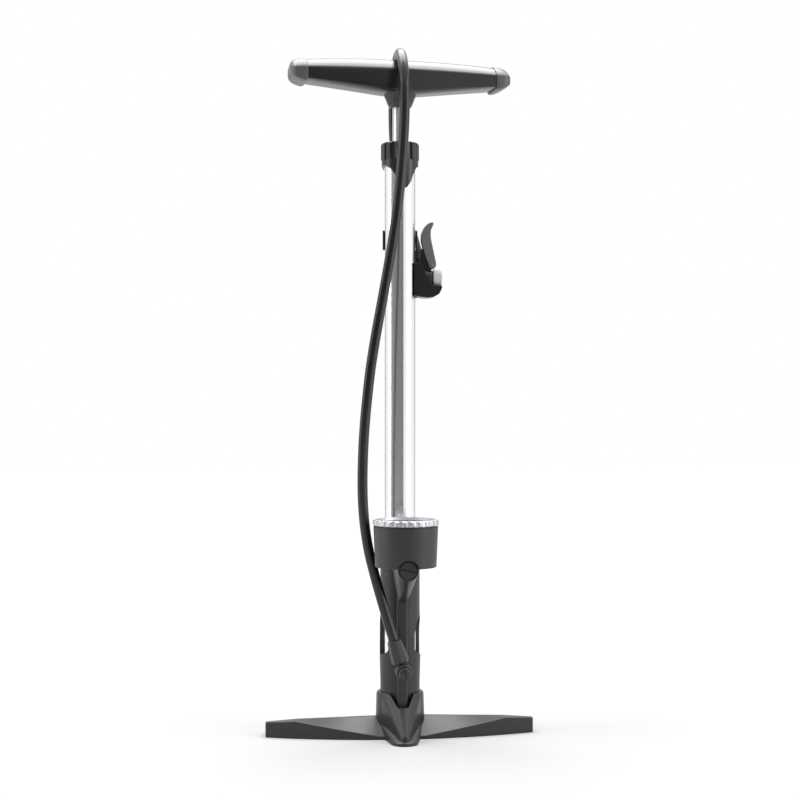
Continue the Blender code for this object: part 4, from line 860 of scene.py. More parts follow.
def make_hose_tree() -> Tree:
    """A Geometry Nodes tree that runs a round hose along a curve.

    Returns:
        The tree, with the inputs Radius, Facets and Finish.
    """
    tree, given, out = geometry_tree("Hose along a route", {"Radius": "Float", "Facets": "Int"})
    profile = add_node(tree, "GeometryNodeCurvePrimitiveCircle")
    wire(tree, given.outputs["Facets"], profile.inputs["Resolution"])
    wire(tree, given.outputs["Radius"], profile.inputs["Radius"])
    sweep = add_node(tree, "GeometryNodeCurveToMesh")
    wire(tree, given.outputs["Geometry"], sweep.inputs["Curve"])
    wire(tree, profile.outputs[0], sweep.inputs["Profile Curve"])
    sweep.inputs["Fill Caps"].default_value = True
    dress_shape(tree, given, out, sweep.outputs[0])
    return tree


def grown(name: str, piece: Piece, tree: Tree, inputs: dict[str, object]) -> Piece:
    """Runs a Geometry Nodes tree on a shape and keeps the result as a plain mesh.

    Args:
        name: The new object's name.
        piece: The shape that the tree starts from, which is used up.
        tree: The tree.
        inputs: The tree's named inputs.

    Returns:
        The plain mesh object.
    """
    modifier = piece.modifiers.new(tree.name, "NODES")
    modifier.node_group = tree
    sockets = {item.name: item.identifier for item in tree.interface.items_tree if item.in_out == "INPUT"}
    for label, value in inputs.items():
        modifier[sockets[label]] = value
    piece.update_tag()
    return settled(name, piece)


def smooth_route(points: Sequence[Sequence[float]], step: float) -> list[Vector]:
    """Points about a step apart on a smooth curve through a route's own points.

    Args:
        points: The route's own points.
        step: The wanted distance between the points of the result.

    Returns:
        The points.
    """
    own = [Vector(point) for point in points]
    ends = [2 * own[0] - own[1], *own, 2 * own[-1] - own[-2]]
    fine: list[Vector] = []
    for a, b, c, d in zip(ends, ends[1:], ends[2:], ends[3:]):
        for i in range(FINE_STEPS):
            t = i / FINE_STEPS
            cubic = 2 * b + (c - a) * t + (2 * a - 5 * b + 4 * c - d) * t**2 + (3 * b - 3 * c + d - a) * t**3
            fine.append(0.5 * cubic)
    fine.append(own[-1])
    lengths = [0.0]
    for a, b in zip(fine, fine[1:]):
        lengths.append(lengths[-1] + (b - a).length)
    spans = round(lengths[-1] / step)
    route, at = [], 0
    for i in range(spans + 1):
        wanted = lengths[-1] * i / spans
        while at < len(fine) - 2 and lengths[at + 1] < wanted:
            at += 1
        share = (wanted - lengths[at]) / (lengths[at + 1] - lengths[at])
        route.append(fine[at].lerp(fine[at + 1], share))
    return route


# ---------------------------------------------------------------- the workshop


@dataclass
class Workshop:
    """What every sub-assembly shares: the finishes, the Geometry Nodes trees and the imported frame."""

    nodes: dict[str, Piece]
    materials: dict[str, bpy.types.Material] = field(default_factory=dict)
    ring_tree: Tree | None = None
    hose_tree: Tree | None = None

    def open(self) -> None:
        """Builds the shader groups, the materials and the Geometry Nodes trees."""
        groups = {"grain": make_grain_group(), "streaks": make_streak_group(), "wear": make_wear_group()}
        self.materials = {key: finish.build(groups) for key, finish in FINISHES.items()}
        self.ring_tree = make_ring_tree()
        self.hose_tree = make_hose_tree()

    def finish(
        self,
        piece: Piece,
        finish: str,
        body: Body,
        replaces: Sequence[str] = (),
        sharp: float = 32.0,
        rides: bool = True,
    ) -> Piece:
        """Dresses a piece, shades it, and puts it on its body.

        Args:
            piece: The piece, at the origin.
            finish: The finish's key.
            body: The body that it rides on.
            replaces: The CAD nodes that it stands for.
            sharp: Edges steeper than this many degrees stay crisp.
            rides: Whether it rides on the one body.

        Returns:
            The piece.
        """
        piece.data.materials.clear()
        piece.data.materials.append(self.materials[finish])
        piece.data.shade_smooth()
        piece.data.set_sharp_from_angle(angle=math.radians(sharp))
        weighted = piece.modifiers.new("Even shading", "WEIGHTED_NORMAL")
        weighted.keep_sharp = True
        if rides:
            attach(piece, body.value)
        if replaces:
            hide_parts(*replaces)
        LOG.info("%s: %d faces on %s", piece.name, len(piece.data.polygons), body.value)
        return piece

    def dress(self, node: str, finish: str) -> None:
        """Gives a CAD node a finish of its own."""
        slots = self.nodes[node].material_slots
        if not slots:
            self.nodes[node].data.materials.append(self.materials[finish])
            slots = self.nodes[node].material_slots
        for material_slot in slots:
            material_slot.link = "OBJECT"
            material_slot.material = self.materials[finish]

    def around(self, name: str, tooth: Piece, count: int, start: float, step: float, finish: str) -> Piece:
        """Repeats a shape around Z.

        Args:
            name: The new object's name.
            tooth: One shape, in its place for no turn.
            count: How many there are.
            start: The first one's turn, in radians.
            step: The turn from one to the next.
            finish: The finish's key.

        Returns:
            All of them as one plain mesh object.
        """
        inputs = {"Count": count, "Start": start, "Step": step, "Finish": self.materials[finish]}
        return grown(name, tooth, self.ring_tree, inputs)


class SubAssembly:
    """Pieces of the pump that are built together, with their sizes as fields."""

    def build(self, shop: Workshop) -> None:
        """Builds the pieces.

        Args:
            shop: The shared workshop.
        """
        raise NotImplementedError


# ---------------------------------------------------------------- studio


@dataclass
class Studio:
    """Floor, lamps, world and camera."""

    camera_distance: float = 1.5
    camera_height: float = 0.314
    camera_turn: float = math.radians(-5.5)
    view_width: float = 0.752
    sensor: float = 36.0
    pale: Point = (0.92, 0.92, 0.92)
    soft_light: float = 0.36
    far_glow: float = 0.70
    near_glow: float = 0.10
    lamp_height: float = 1.6
    card_reach: float = 1.25
    sky_card: tuple[Point, Point] = ((-0.60, -0.10, 1.5), (0.42, 0.95, 1.5))
    sky: float = 8.0
    card_foot: float = 0.01
    card_top: float = 1.0
    floor_half: float = 6.0

    def build(self) -> None:
        """Sets up the whole studio."""
        scene = bpy.context.scene
        scene.view_settings.view_transform = "Standard"
        self.place_camera(scene)
        self.light_world(scene)
        self.lay_floor()
        self.hang_lamps()
        self.stand_cards()

    def place_camera(self, scene: bpy.types.Scene) -> None:
        """Puts the camera where the photograph was taken from."""
        data = bpy.data.cameras.new("Camera")
        data.sensor_width = self.sensor
        data.lens = self.sensor * self.camera_distance / self.view_width
        camera = linked("Camera", data)
        camera.location = (
            self.camera_distance * math.sin(self.camera_turn),
            -self.camera_distance * math.cos(self.camera_turn),
            self.camera_height,
        )
        camera.rotation_euler = (math.pi / 2, 0, self.camera_turn)
        scene.camera = camera

    def light_world(self, scene: bpy.types.Scene) -> None:
        """Makes the world white to the eye and in reflections, and a soft grey light otherwise."""
        world = bpy.data.worlds.new("Studio")
        world.use_nodes = True
        scene.world = world
        tree = world.node_tree
        background = tree.nodes["Background"]
        seen = self.seen(tree)
        strength = math_node(tree, "MAXIMUM", seen, self.soft_light)
        background.inputs["Color"].default_value = WHITE
        wire(tree, strength, background.inputs["Strength"])

    @staticmethod
    def seen(tree: Tree) -> Socket:
        """Where the eye looks, directly, in a reflection or through the lens.

        Args:
            tree: The tree that gets the nodes.

        Returns:
            1 for those rays and 0 for all others.
        """
        path = add_node(tree, "ShaderNodeLightPath").outputs
        looked = math_node(tree, "MAXIMUM", path["Is Camera Ray"], path["Is Transmission Ray"])
        return math_node(tree, "MAXIMUM", looked, path["Is Glossy Ray"])

    def lay_floor(self) -> None:
        """Lays a pale floor far enough to reach the horizon."""
        bm = bmesh.new()
        bmesh.ops.create_grid(bm, x_segments=1, y_segments=1, size=self.floor_half)
        floor = object_of("Floor", bm)
        if floor.data.polygons[0].normal.z < 0:
            floor.data.flip_normals()
        made, tree, shader = new_material("Pale floor")
        fill(shader, {"Base Color": (*self.pale, 1.0), "Roughness": 0.9, "Specular IOR Level": 0.0})
        glow = add_node(tree, "ShaderNodeEmission")
        glow.inputs["Color"].default_value = WHITE
        place = add_node(tree, "ShaderNodeTexCoord")
        span = add_node(tree, "ShaderNodeVectorMath", operation="LENGTH")
        wire(tree, place.outputs["Object"], span.inputs[0])
        share = math_node(tree, "DIVIDE", span.outputs["Value"], self.lamp_height)
        share = math_node(tree, "ADD", math_node(tree, "POWER", share, 2.0), 1.0)
        lit = math_node(tree, "POWER", share, -2.0)  # how the overhead box's light falls off along the floor
        lift = math_node(tree, "MULTIPLY", lit, self.near_glow - self.far_glow)
        lift = math_node(tree, "ADD", lift, self.far_glow)
        wire(tree, math_node(tree, "MULTIPLY", self.seen(tree), lift), glow.inputs["Strength"])
        both = add_node(tree, "ShaderNodeAddShader")
        wire(tree, shader.outputs[0], both.inputs[0])
        wire(tree, glow.outputs[0], both.inputs[1])
        wire(tree, both.outputs[0], tree.nodes["Material Output"].inputs["Surface"])
        floor.data.materials.append(made)

    def hang_lamps(self) -> None:
        """Hangs a long box overhead and a soft one at either side."""
        for name, place, aim, size, power in (
            ("Overhead box", (0.0, 0.30, 1.60), (0, 0, 0.30), (1.8, 0.9), 15.0),
            ("Left box", (-1.35, -0.25, 0.75), (0, 0, 0.3), (0.6, 1.3), 6.5),
            ("Right box", (1.25, -0.60, 0.70), (0, 0, 0.3), (0.5, 1.3), 6.0),
        ):
            data = bpy.data.lights.new(name, "AREA")
            data.shape = "RECTANGLE"
            data.size, data.size_y = size
            data.energy = power
            lamp = linked(name, data)
            lamp.location = place
            lamp.rotation_euler = (Vector(aim) - Vector(place)).to_track_quat("-Z", "Y").to_euler()

    def stand_cards(self) -> None:
        """Stands grey cards around the pump and hangs a bright one over it, for reflections only."""
        for name, start, end, grey in (
            ("Card far left", -150, -134, 0.45),
            ("Card edge left", -77, -66, 0.07),
            ("Card middle", -66, 8, 0.22),
            ("Card edge right", 8, 19, 0.05),
            ("Card far right", 124, 140, 0.45),
        ):
            rows = []
            for degrees in range(start, end + 1):
                angle = math.radians(degrees)
                rows.append((self.card_reach * math.sin(angle), -self.card_reach * math.cos(angle)))
            self.reflector(name, [((x, y, self.card_foot), (x, y, self.card_top)) for x, y in rows], grey)
        low, high = self.sky_card
        sides = [((low[0], y, high[2]), (high[0], y, high[2])) for y in (low[1], high[1])]
        self.reflector("Card overhead", sides, self.sky)

    def reflector(self, name: str, rows: Sequence[tuple[Point, Point]], glow: float) -> None:
        """Makes a card that only reflections show.

        Args:
            name: The card's name.
            rows: Pairs of points across the card, from one end to the other.
            glow: How bright it is, where 1 is white.
        """
        bm = bmesh.new()
        pairs = [(bm.verts.new(a), bm.verts.new(b)) for a, b in rows]
        for (a, b), (c, d) in zip(pairs, pairs[1:]):
            bm.faces.new((a, c, d, b))
        card = object_of(name, bm)
        made = bpy.data.materials.new(name)
        made.use_nodes = True
        tree = made.node_tree
        tree.nodes.remove(tree.nodes["Principled BSDF"])
        light = add_node(tree, "ShaderNodeEmission")
        light.inputs["Strength"].default_value = glow
        wire(tree, light.outputs[0], tree.nodes["Material Output"].inputs["Surface"])
        card.data.materials.append(made)
        card.visible_camera = card.visible_diffuse = card.visible_shadow = card.visible_transmission = False


# ---------------------------------------------------------------- hose


def boot_axis() -> tuple[Vector, Vector]:
    """The axis of the hose's boot.

    Returns:
        The swivel fitting's centre, and the direction in which the boot points.
    """
    back = RIB_FACE + 2 * CLEARANCE + HoseFitting.washer
    centre = Vector((0, -(back + back + HoseFitting.depth) / 2, FITTING_HEIGHT))
    return centre, Matrix.Rotation(BOOT_LEAN, 3, "Y") @ Vector((0, 0, 1))


@dataclass
class Hose(SubAssembly):
    """The hose from its boot at the foot, over the handle, to the ferrule on the head."""

    radius: float = 0.0047
    step: float = 0.0208
    arch_height: float = 0.6392
    arch_radius: float = 0.0412
    straight: float = 0.0095
    fine_step: float = 0.004
    facets: int = 28

    def ends(self) -> tuple[Vector, Vector, Vector, Vector]:
        """The hose's two ends, each with the direction in which the hose leaves it.

        Returns:
            Start, its direction, end, its direction.
        """
        centre, out = boot_axis()
        tail = Head.tail_direction()
        head = Vector((CLIP_RADIUS, 0, NOZZLE_HEIGHT)) + Vector(Head.tail_start)
        return centre + (BOOT_END + CLEARANCE) * out, out, head + (FERRULE_END + CLEARANCE) * tail, tail

    def route(self) -> list[Vector]:
        """The hose's centreline.

        Returns:
            Its points, about two diameters apart.
        """
        start, out, end, tail = self.ends()
        base = self.arch_height - self.arch_radius
        up = [
            (-0.0175, -0.0345, 0.1210), (-0.0255, -0.0342, 0.1490), (-0.0322, -0.0342, 0.1763),
            (-0.0363, -0.0348, 0.2040), (-0.0379, -0.0360, 0.2314), (-0.0377, -0.0375, 0.2590),
            (-0.0365, -0.0395, 0.2865), (-0.0342, -0.0415, 0.3140), (-0.0312, -0.0430, 0.3414),
            (-0.0271, -0.0445, 0.3687), (-0.0222, -0.0455, 0.3960), (-0.0172, -0.0460, 0.4233),
            (-0.0124, -0.0460, 0.4507), (-0.0075, -0.0455, 0.4826), (-0.0035, -0.0440, 0.5193),
            (-0.0011, -0.0425, 0.5497), (0.0003, -0.0415, 0.5790),
        ]
        over = [
            (
                0.0004 - 0.0029 * i / 8,
                -self.arch_radius * math.cos(math.pi * i / 8),
                base + self.arch_radius * math.sin(math.pi * i / 8),
            )
            for i in range(9)
        ]
        down = [
            (-0.0020, 0.0414, 0.5700), (0.0005, 0.0400, 0.5400), (0.0050, 0.0360, 0.5100),
            (0.0115, 0.0300, 0.4830),
        ]
        points = [start, start + self.straight * out, *up, *over, *down, end + self.straight * tail, end]
        return smooth_route(points, self.step)

    def build(self, shop: Workshop) -> None:
        path = self.route()
        fine = smooth_route(path, self.fine_step)
        guide = bpy.data.curves.new("hose_guide", "CURVE")
        guide.dimensions = "3D"
        spline = guide.splines.new("POLY")
        spline.points.add(len(fine) - 1)
        for point, place in zip(spline.points, fine):
            point.co = (*place, 1)
        holder = linked("hose_guide", guide)
        inputs = {"Radius": self.radius, "Facets": self.facets, "Finish": shop.materials["hose"]}
        hose = grown("hose_line", holder, shop.hose_tree, inputs)
        shop.finish(hose, "hose", Body.BASE, ("hose",), rides=False)
        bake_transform(hose)


# ---------------------------------------------------------------- foot


@dataclass
class Foot(SubAssembly):
    """The moulded foot with its two wings, collar, nose and tail."""

    half_span: float = 0.126
    front: float = 0.0255
    tip_front: float = 0.004
    rear: float = 0.024
    tip_rear: float = 0.017
    ridge: float = 0.0186
    peak_height: float = 0.0161
    tip_height: float = 0.0141
    peak: float = 0.78
    lip: float = 0.0028
    front_curve: float = 1.9
    rear_curve: float = 2.0
    rear_share: float = 0.6
    nose_reach: float = 0.057
    tail_reach: float = 0.050
    collar_radius: float = SLEEVE_RADIUS + CLEARANCE + 0.0032
    collar_top: float = 0.041
    socket_floor: float = 0.010
    pocket_depth: float = 0.006
    pocket_wall: float = 0.006
    first_pocket: float = 0.009
    pocket_shares: tuple[Pair, ...] = ((0.26, 0.44), (0.47, 0.64), (0.67, 0.82))
    screw_circle: float = 0.0098

    def reaches(self, share: float) -> Pair:
        """How far the wing reaches to the front and to the rear at a share of its span."""
        front = self.front - (self.front - self.tip_front) * share**self.front_curve
        return front, self.rear - (self.rear - self.tip_rear) * share**self.rear_curve

    def section(self, side: float) -> list[Point]:
        """The wing's outline at a signed share of its span.

        Args:
            side: -1 at the left tip, 1 at the right tip.

        Returns:
            Six corners.
        """
        share = abs(side)
        front, rear = self.reaches(share)
        nose_share = self.collar_radius / self.half_span
        if share < self.peak:
            along = max(0.0, (share - nose_share) / (self.peak - nose_share))
            front_height = self.lip + (self.peak_height - self.lip) * along
            ridge = self.ridge - (self.ridge - self.peak_height) * share / self.peak
        else:
            along = (share - self.peak) / (1 - self.peak)
            front_height = ridge = self.peak_height - (self.peak_height - self.tip_height) * along
        x = side * self.half_span
        return [
            (x, -front, -0.0005), (x, rear, -0.0005), (x, rear, self.rear_share * ridge), (x, 0.001, ridge),
            (x, -0.001, ridge), (x, -front, front_height),
        ]

    def build(self, shop: Workshop) -> None:
        """Builds the foot."""
        nose_share = self.collar_radius / self.half_span
        half = [0, nose_share, 0.25, 0.32, 0.40, 0.48, 0.56, 0.64, 0.71, self.peak, 0.84, 0.92, 1.0]
        sides = [-share for share in reversed(half[1:])] + half
        foot = bevelled(loft("foot_body", [self.section(side) for side in sides]), 0.0011, 3, 24)
        radius, top = self.collar_radius, self.collar_top
        collar = turned(
            "collar",
            [
                (0, top), (radius - 0.0014, top), (radius - 0.0006, top - 0.0003),
                (radius - 0.0001, top - 0.0012), (radius + 0.0002, top - 0.0028), (radius + 0.0008, 0.018),
                (radius + 0.0012, -0.0007), (0, -0.0007),
            ],
        )
        tip, toe, heel = -self.nose_reach + 0.0070, -self.nose_reach + 0.0125, self.tail_reach - 0.014
        added = [
            hull(name, [point for r, y, z, facets in rings for point in circle(r, (0, y, z), facets)])
            for name, rings in {
                "tongue": (
                    (radius - 0.0004, 0, top - 0.0012, ROUND), (radius - 0.0004, 0, -0.0020, ROUND),
                    (0.0038, tip, 0.0088, 32), (0.0045, tip, 0.0075, 32), (0.0045, tip - 0.0010, -0.0020, 32),
                ),
                "skirt": (
                    (radius - 0.0008, 0, -0.0015, ROUND - 2), (radius - 0.0008, 0, 0.0130, ROUND - 2),
                    (0.0125, toe, -0.0015, SMALL_ROUND), (0.0121, toe, 0.0026, SMALL_ROUND),
                    (0.0110, toe, 0.0036, SMALL_ROUND),
                ),
                "tail": (
                    (radius - 0.0012, 0, -0.0010, ROUND - 6), (radius - 0.0012, 0, 0.0260, ROUND - 6),
                    (0.0140, heel, -0.0010, SMALL_ROUND), (0.0136, heel, 0.0036, SMALL_ROUND),
                    (0.0125, heel, 0.0050, SMALL_ROUND),
                ),
            }.items()
        ]
        join(foot, collar, *added)
        rib = 0.005
        slot = block(
            "slot", (-rib - CLEARANCE, -RIB_FACE - CLEARANCE, 0.0117), (rib + CLEARANCE, 0, top + 0.02),
        )
        dip = plate(
            "dip",
            rounded_profile(
                [(-0.0050, 0.0300), (0.0050, 0.0300), (0.0125, top + 0.002), (-0.0125, top + 0.002)], 0.0012,
                True,
            ),
            0.04,
            shift(0, -0.034, 0) @ UPRIGHT,
        )
        socket = cylinder("socket", SLEEVE_RADIUS + CLEARANCE, (0, 0, self.socket_floor), (0, 0, 0.06), ROUND)
        floor = block("trim", (-0.14, -0.08, -0.02), (0.14, 0.08, 0))
        cut(foot, socket, slot, dip, floor, *self.pockets(), *self.screw_bores())
        shop.finish(foot, "foot", Body.BASE, ("foot",), sharp=28)

    def pockets(self) -> list[Piece]:
        """The recesses under the wings."""
        made = []
        for side in (-1, 1):
            for number, (inner, outer) in enumerate(self.pocket_shares):
                front, rear = (reach - self.pocket_wall for reach in self.reaches(outer))
                front = front if number else self.first_pocket
                xs = sorted((side * inner * self.half_span, side * outer * self.half_span))
                made.append(
                    block(f"pocket{side}{number}", (xs[0], -front, -0.001), (xs[1], rear, self.pocket_depth))
                )
        return made

    def screw_bores(self) -> list[Piece]:
        """The stepped holes of the three screws."""
        made = []
        for angle in (90, 210, 330):
            place = spin(math.radians(angle), "Z") @ shift(self.screw_circle, 0, 0)
            profile = [
                (0, 0.012), (0.0021, 0.012), (0.0021, 0.004), (0.0037, 0.004), (0.0037, -0.001), (0, -0.001),
            ]
            made.append(placed(turned(f"screw_bore_{angle}", profile, steps=32), place))
        return made


# ---------------------------------------------------------------- sleeve, fitting and boot


@dataclass
class Sleeve(SubAssembly):
    """The sleeve around the barrel, with its rib, side windows and the pod that carries the gauge."""

    top: float = 0.186
    rounding: float = 0.0015
    swell: float = 0.0008
    bottom: float = 0.0103
    rib_foot: float = 0.012
    rib_top: float = 0.131
    rib_half: float = 0.005
    pod_radius: float = 0.0094

    def build(self, shop: Workshop) -> None:
        """Builds the sleeve."""
        edge = self.rounding
        profile = [
            (0, self.top), *quarter((SLEEVE_RADIUS - edge, self.top - edge), edge, edge, (0, 22, 45, 68, 90)),
        ]
        for i in range(17):
            share = i / 16
            profile.append(
                (SLEEVE_RADIUS + self.swell * math.sin(math.pi * share) ** 2, 0.127 - 0.084 * share)
            )
        profile += [(SLEEVE_RADIUS, self.bottom), (0, self.bottom)]
        sleeve = turned("sleeve_body", profile)
        half = self.rib_half
        rib = plate(
            "rib",
            rounded_profile(
                [(-half, -0.012), (-half, -RIB_FACE), (half, -RIB_FACE), (half, -0.012)], 0.0022, True, 5,
            ),
            self.rib_top - self.rib_foot,
            shift(0, 0, (self.rib_top + self.rib_foot) / 2),
        )
        pod = hull(
            "pod",
            circle(self.pod_radius - 0.0008, (0, -POD_FACE, POD_HEIGHT), ROUND, "Y")
            + circle(self.pod_radius - 0.0002, (0, -POD_FACE + 0.0002, POD_HEIGHT), ROUND, "Y")
            + circle(self.pod_radius, (0, -POD_FACE + 0.0008, POD_HEIGHT), ROUND, "Y")
            + circle(self.pod_radius, (0, -0.012, POD_HEIGHT), ROUND, "Y")
            + [Vector((x, y, 0.127)) for x in (-half + 0.001, half - 0.001) for y in (-0.012, -RIB_FACE)],
        )
        saddle = bevelled(
            block("saddle", (-0.011, -SLEEVE_RADIUS - 0.0111, 0.169), (0.011, -0.010, self.top - 0.004)),
            0.0008,
        )
        room = cylinder(
            "room", GAUGE_RADIUS + CLEARANCE, (0, -GAUGE_FORWARD, 0.161), (0, -GAUGE_FORWARD, 0.2105), ROUND,
        )
        cut(saddle, room)
        join(sleeve, rib, pod, saddle)
        windows = plate("windows", rounded_profile(self.window(), 0.004, True, 5), 0.08, SIDEWAYS)
        channel = -RIB_FACE + 0.0045
        cut(
            sleeve,
            windows,
            cylinder("bore", SLEEVE_BORE, (0, 0, 0), (0, 0, 0.3), ROUND),
            front_bore("plug_room", 0.0084, -POD_FACE - 0.001, -POD_FACE + 0.004, POD_HEIGHT),
            front_bore("shank_room", 0.0047, -POD_FACE, -POD_FACE + 0.019, POD_HEIGHT),
            front_bore("bolt_port", 0.0027, -RIB_FACE - 0.002, channel, FITTING_HEIGHT),
            cylinder(
                "stem_port", 0.0043, (0, -GAUGE_FORWARD, POD_HEIGHT), (0, -GAUGE_FORWARD, POD_HEIGHT + 0.02),
            ),
        )
        shop.finish(sleeve, "sleeve", Body.BASE, ("sleeve",), sharp=30)

    @staticmethod
    def window() -> list[Pair]:
        """One side window, seen from the side, as back and up."""
        return [
            (0.0045, 0.0730), (0.0050, 0.0900), (0.0040, 0.1000), (0.0005, 0.1080), (-0.0055, 0.1130),
            (-0.0115, 0.1080), (-0.0145, 0.0980), (-0.0148, 0.0790),
        ]


@dataclass
class HoseFitting(SubAssembly):
    """The swivel fitting on the rib, its slotted bolt and the faceted boot."""

    radius: float = 0.0076
    depth: float = 0.019
    washer: float = 0.0012
    boot_start: float = 0.0083
    boot_facets: int = 8

    def build(self, shop: Workshop) -> None:
        """Builds the fitting, bolt and boot."""
        back = RIB_FACE + 2 * CLEARANCE + self.washer
        front = back + self.depth
        centre, along = boot_axis()
        up = shift(0, 0, FITTING_HEIGHT) @ FORWARD
        r = self.radius
        ring = rounded_profile([(0.0027, front), (r, front), (r, back), (0.0027, back)], 0.0014, True)
        fitting = placed(turned("fitting_body", ring, True, SMALL_ROUND), up)
        join(fitting, cylinder("stub", 0.0034, centre + 0.0045 * along, centre + 0.0183 * along, 32))
        cut(fitting, front_bore("bolt_room", 0.0027, -back + 0.001, -front - 0.001, FITTING_HEIGHT, 32))
        shop.finish(fitting, "boot", Body.BASE, ("hose_fitting",))
        head = front + self.washer + 2 * CLEARANCE
        bolt = placed(
            turned(
                "bolt_body",
                [
                    (0, head + 0.0032), (0.0038, head + 0.0032), (0.0048, head + 0.0028),
                    (0.0054, head + 0.0020), (0.0056, head + 0.0012), (0.0056, head), (0.0024, head),
                    (0.0024, RIB_FACE - 0.0035), (0, RIB_FACE - 0.0035),
                ],
                steps=SMALL_ROUND,
            ),
            up,
        )
        slot = block("slot", (-0.007, -0.0007, head + 0.0018), (0.007, 0.0007, head + 0.005))
        turn = shift(0, 0, FITTING_HEIGHT) @ spin(math.radians(75), "Y") @ FORWARD
        cut(bolt, placed(slot, turn))
        shop.finish(bolt, "boot", Body.BASE, ("fitting_bolt",))
        low, high = self.boot_start, BOOT_END
        profile = [
            (0, high), (0.0054, high), (0.0064, high - 0.0005), (0.0068, high - 0.0015),
            (0.0084, low + 0.0035), (0.0081, low + 0.0016), (0.0069, low), (0.0037, low),
            (0.0037, low + 0.0105), (0, low + 0.0105),
        ]
        boot = turned("boot_body", profile, steps=self.boot_facets)
        bevelled(boot, 0.0006, 3, 30)
        placed(boot, Matrix.Translation(centre) @ spin(BOOT_LEAN, "Y"))
        cut(boot, front_bore("room", r + CLEARANCE, -back + 0.005, -front - 0.005, FITTING_HEIGHT))
        shop.finish(boot, "boot", Body.BASE, ("hose_boot",), sharp=25)


# ---------------------------------------------------------------- barrel and cap


@dataclass
class Barrel(SubAssembly):
    """The barrel, the knurled cap nut and the collar under it."""

    bottom: float = 0.0203
    cap_radius: float = 0.018
    cap_height: float = 0.015
    lobes: int = 14
    lobe_steps: int = 12
    lobe_depth: float = 0.0011
    valley: float = -0.55
    nut_drop: float = 0.0022
    tongue: float = 0.0295
    collar_turn: float = math.radians(9)

    def build(self, shop: Workshop) -> None:
        """Builds the barrel, its cap nut and its collar."""
        tube = rounded_profile(
            [
                (BARREL_BORE, BARREL_TOP), (BARREL_RADIUS, BARREL_TOP), (BARREL_RADIUS, self.bottom),
                (BARREL_BORE, self.bottom),
            ],
            0.0003,
            True,
        )
        shop.finish(turned("barrel_tube", tube, True), "silver", Body.BASE, ("barrel",))
        self.build_nut(shop)
        self.build_collar(shop)

    def build_nut(self, shop: Workshop) -> None:
        """Builds the cap nut with its lobes."""
        seat = BARREL_TOP + CLEARANCE
        low, top = BARREL_TOP - self.nut_drop, seat + self.cap_height - 0.0012
        outline = []
        steps = self.lobes * self.lobe_steps
        for i in range(steps):
            angle = math.tau * i / steps
            wave = max(math.cos(self.lobes * angle), self.valley)
            radius = self.cap_radius - self.lobe_depth * (1 - wave)
            outline.append(polar(radius, angle))
        nut = plate("nut_body", outline, top - low, shift(0, 0, (low + top) / 2))
        r = self.cap_radius
        trim = [(0, top)]
        trim += quarter((r - 0.003, top - 0.003), 0.0031, 0.003, range(0, 91, 15))
        trim += [
            (r + 0.0001, low + 0.0010), (r - 0.0003, low + 0.0003), (r - 0.0009, low - 0.0005),
            (0, low - 0.0005),
        ]
        combine(nut, Operation.KEEP, turned("trim", trim))
        bore, recess = ROD_RADIUS + 0.0005, ROD_RADIUS + 0.0033
        flange = seat + 0.003 + CLEARANCE
        roof = seat + self.cap_height - 0.002
        skirt = BARREL_RADIUS + CLEARANCE
        hollow = [
            (0, top + 0.001), (bore, top + 0.001), (bore, roof), (recess, roof), (recess, roof - 0.004),
            (bore + 0.0003, roof - 0.004), (bore + 0.0003, flange), (skirt, flange), (skirt, low - 0.001),
            (0, low - 0.001),
        ]
        cut(nut, turned("hollow", hollow))
        shop.finish(nut, "moulding", Body.BASE, ("cap_nut",), sharp=40)

    def build_collar(self, shop: Workshop) -> None:
        """Builds the collar with a pointed tongue in front and behind."""
        top = BARREL_TOP - self.nut_drop - CLEARANCE
        outer = BARREL_RADIUS + 0.0026
        ring = rounded_profile(
            [
                (SLEEVE_BORE, top), (outer, top), (outer, BARREL_TOP - 0.0315),
                (SLEEVE_BORE, BARREL_TOP - 0.0315),
            ],
            0.0005, True
        )
        collar = turned("collar_body", ring, True)
        skirt = top - 0.0042
        side = [
            (0.0195, top + 0.002), (0.0195, skirt), (0.0146, skirt - 0.0016), (0.0113, skirt - 0.0052),
            (0.0088, skirt - 0.0105), (0.0066, skirt - 0.0165), (0.0034, skirt - 0.0220),
        ]
        outline = rounded_profile(
            [*side, (0, BARREL_TOP - self.tongue), *((-x, z) for x, z in reversed(side))], 0.0015, True, 5,
        )
        combine(collar, Operation.KEEP, plate("tongue", outline, 0.05, UPRIGHT))
        placed(collar, spin(self.collar_turn, "Z"))
        shop.finish(collar, "moulding", Body.BASE, ("cap_collar",))


# ---------------------------------------------------------------- gauge


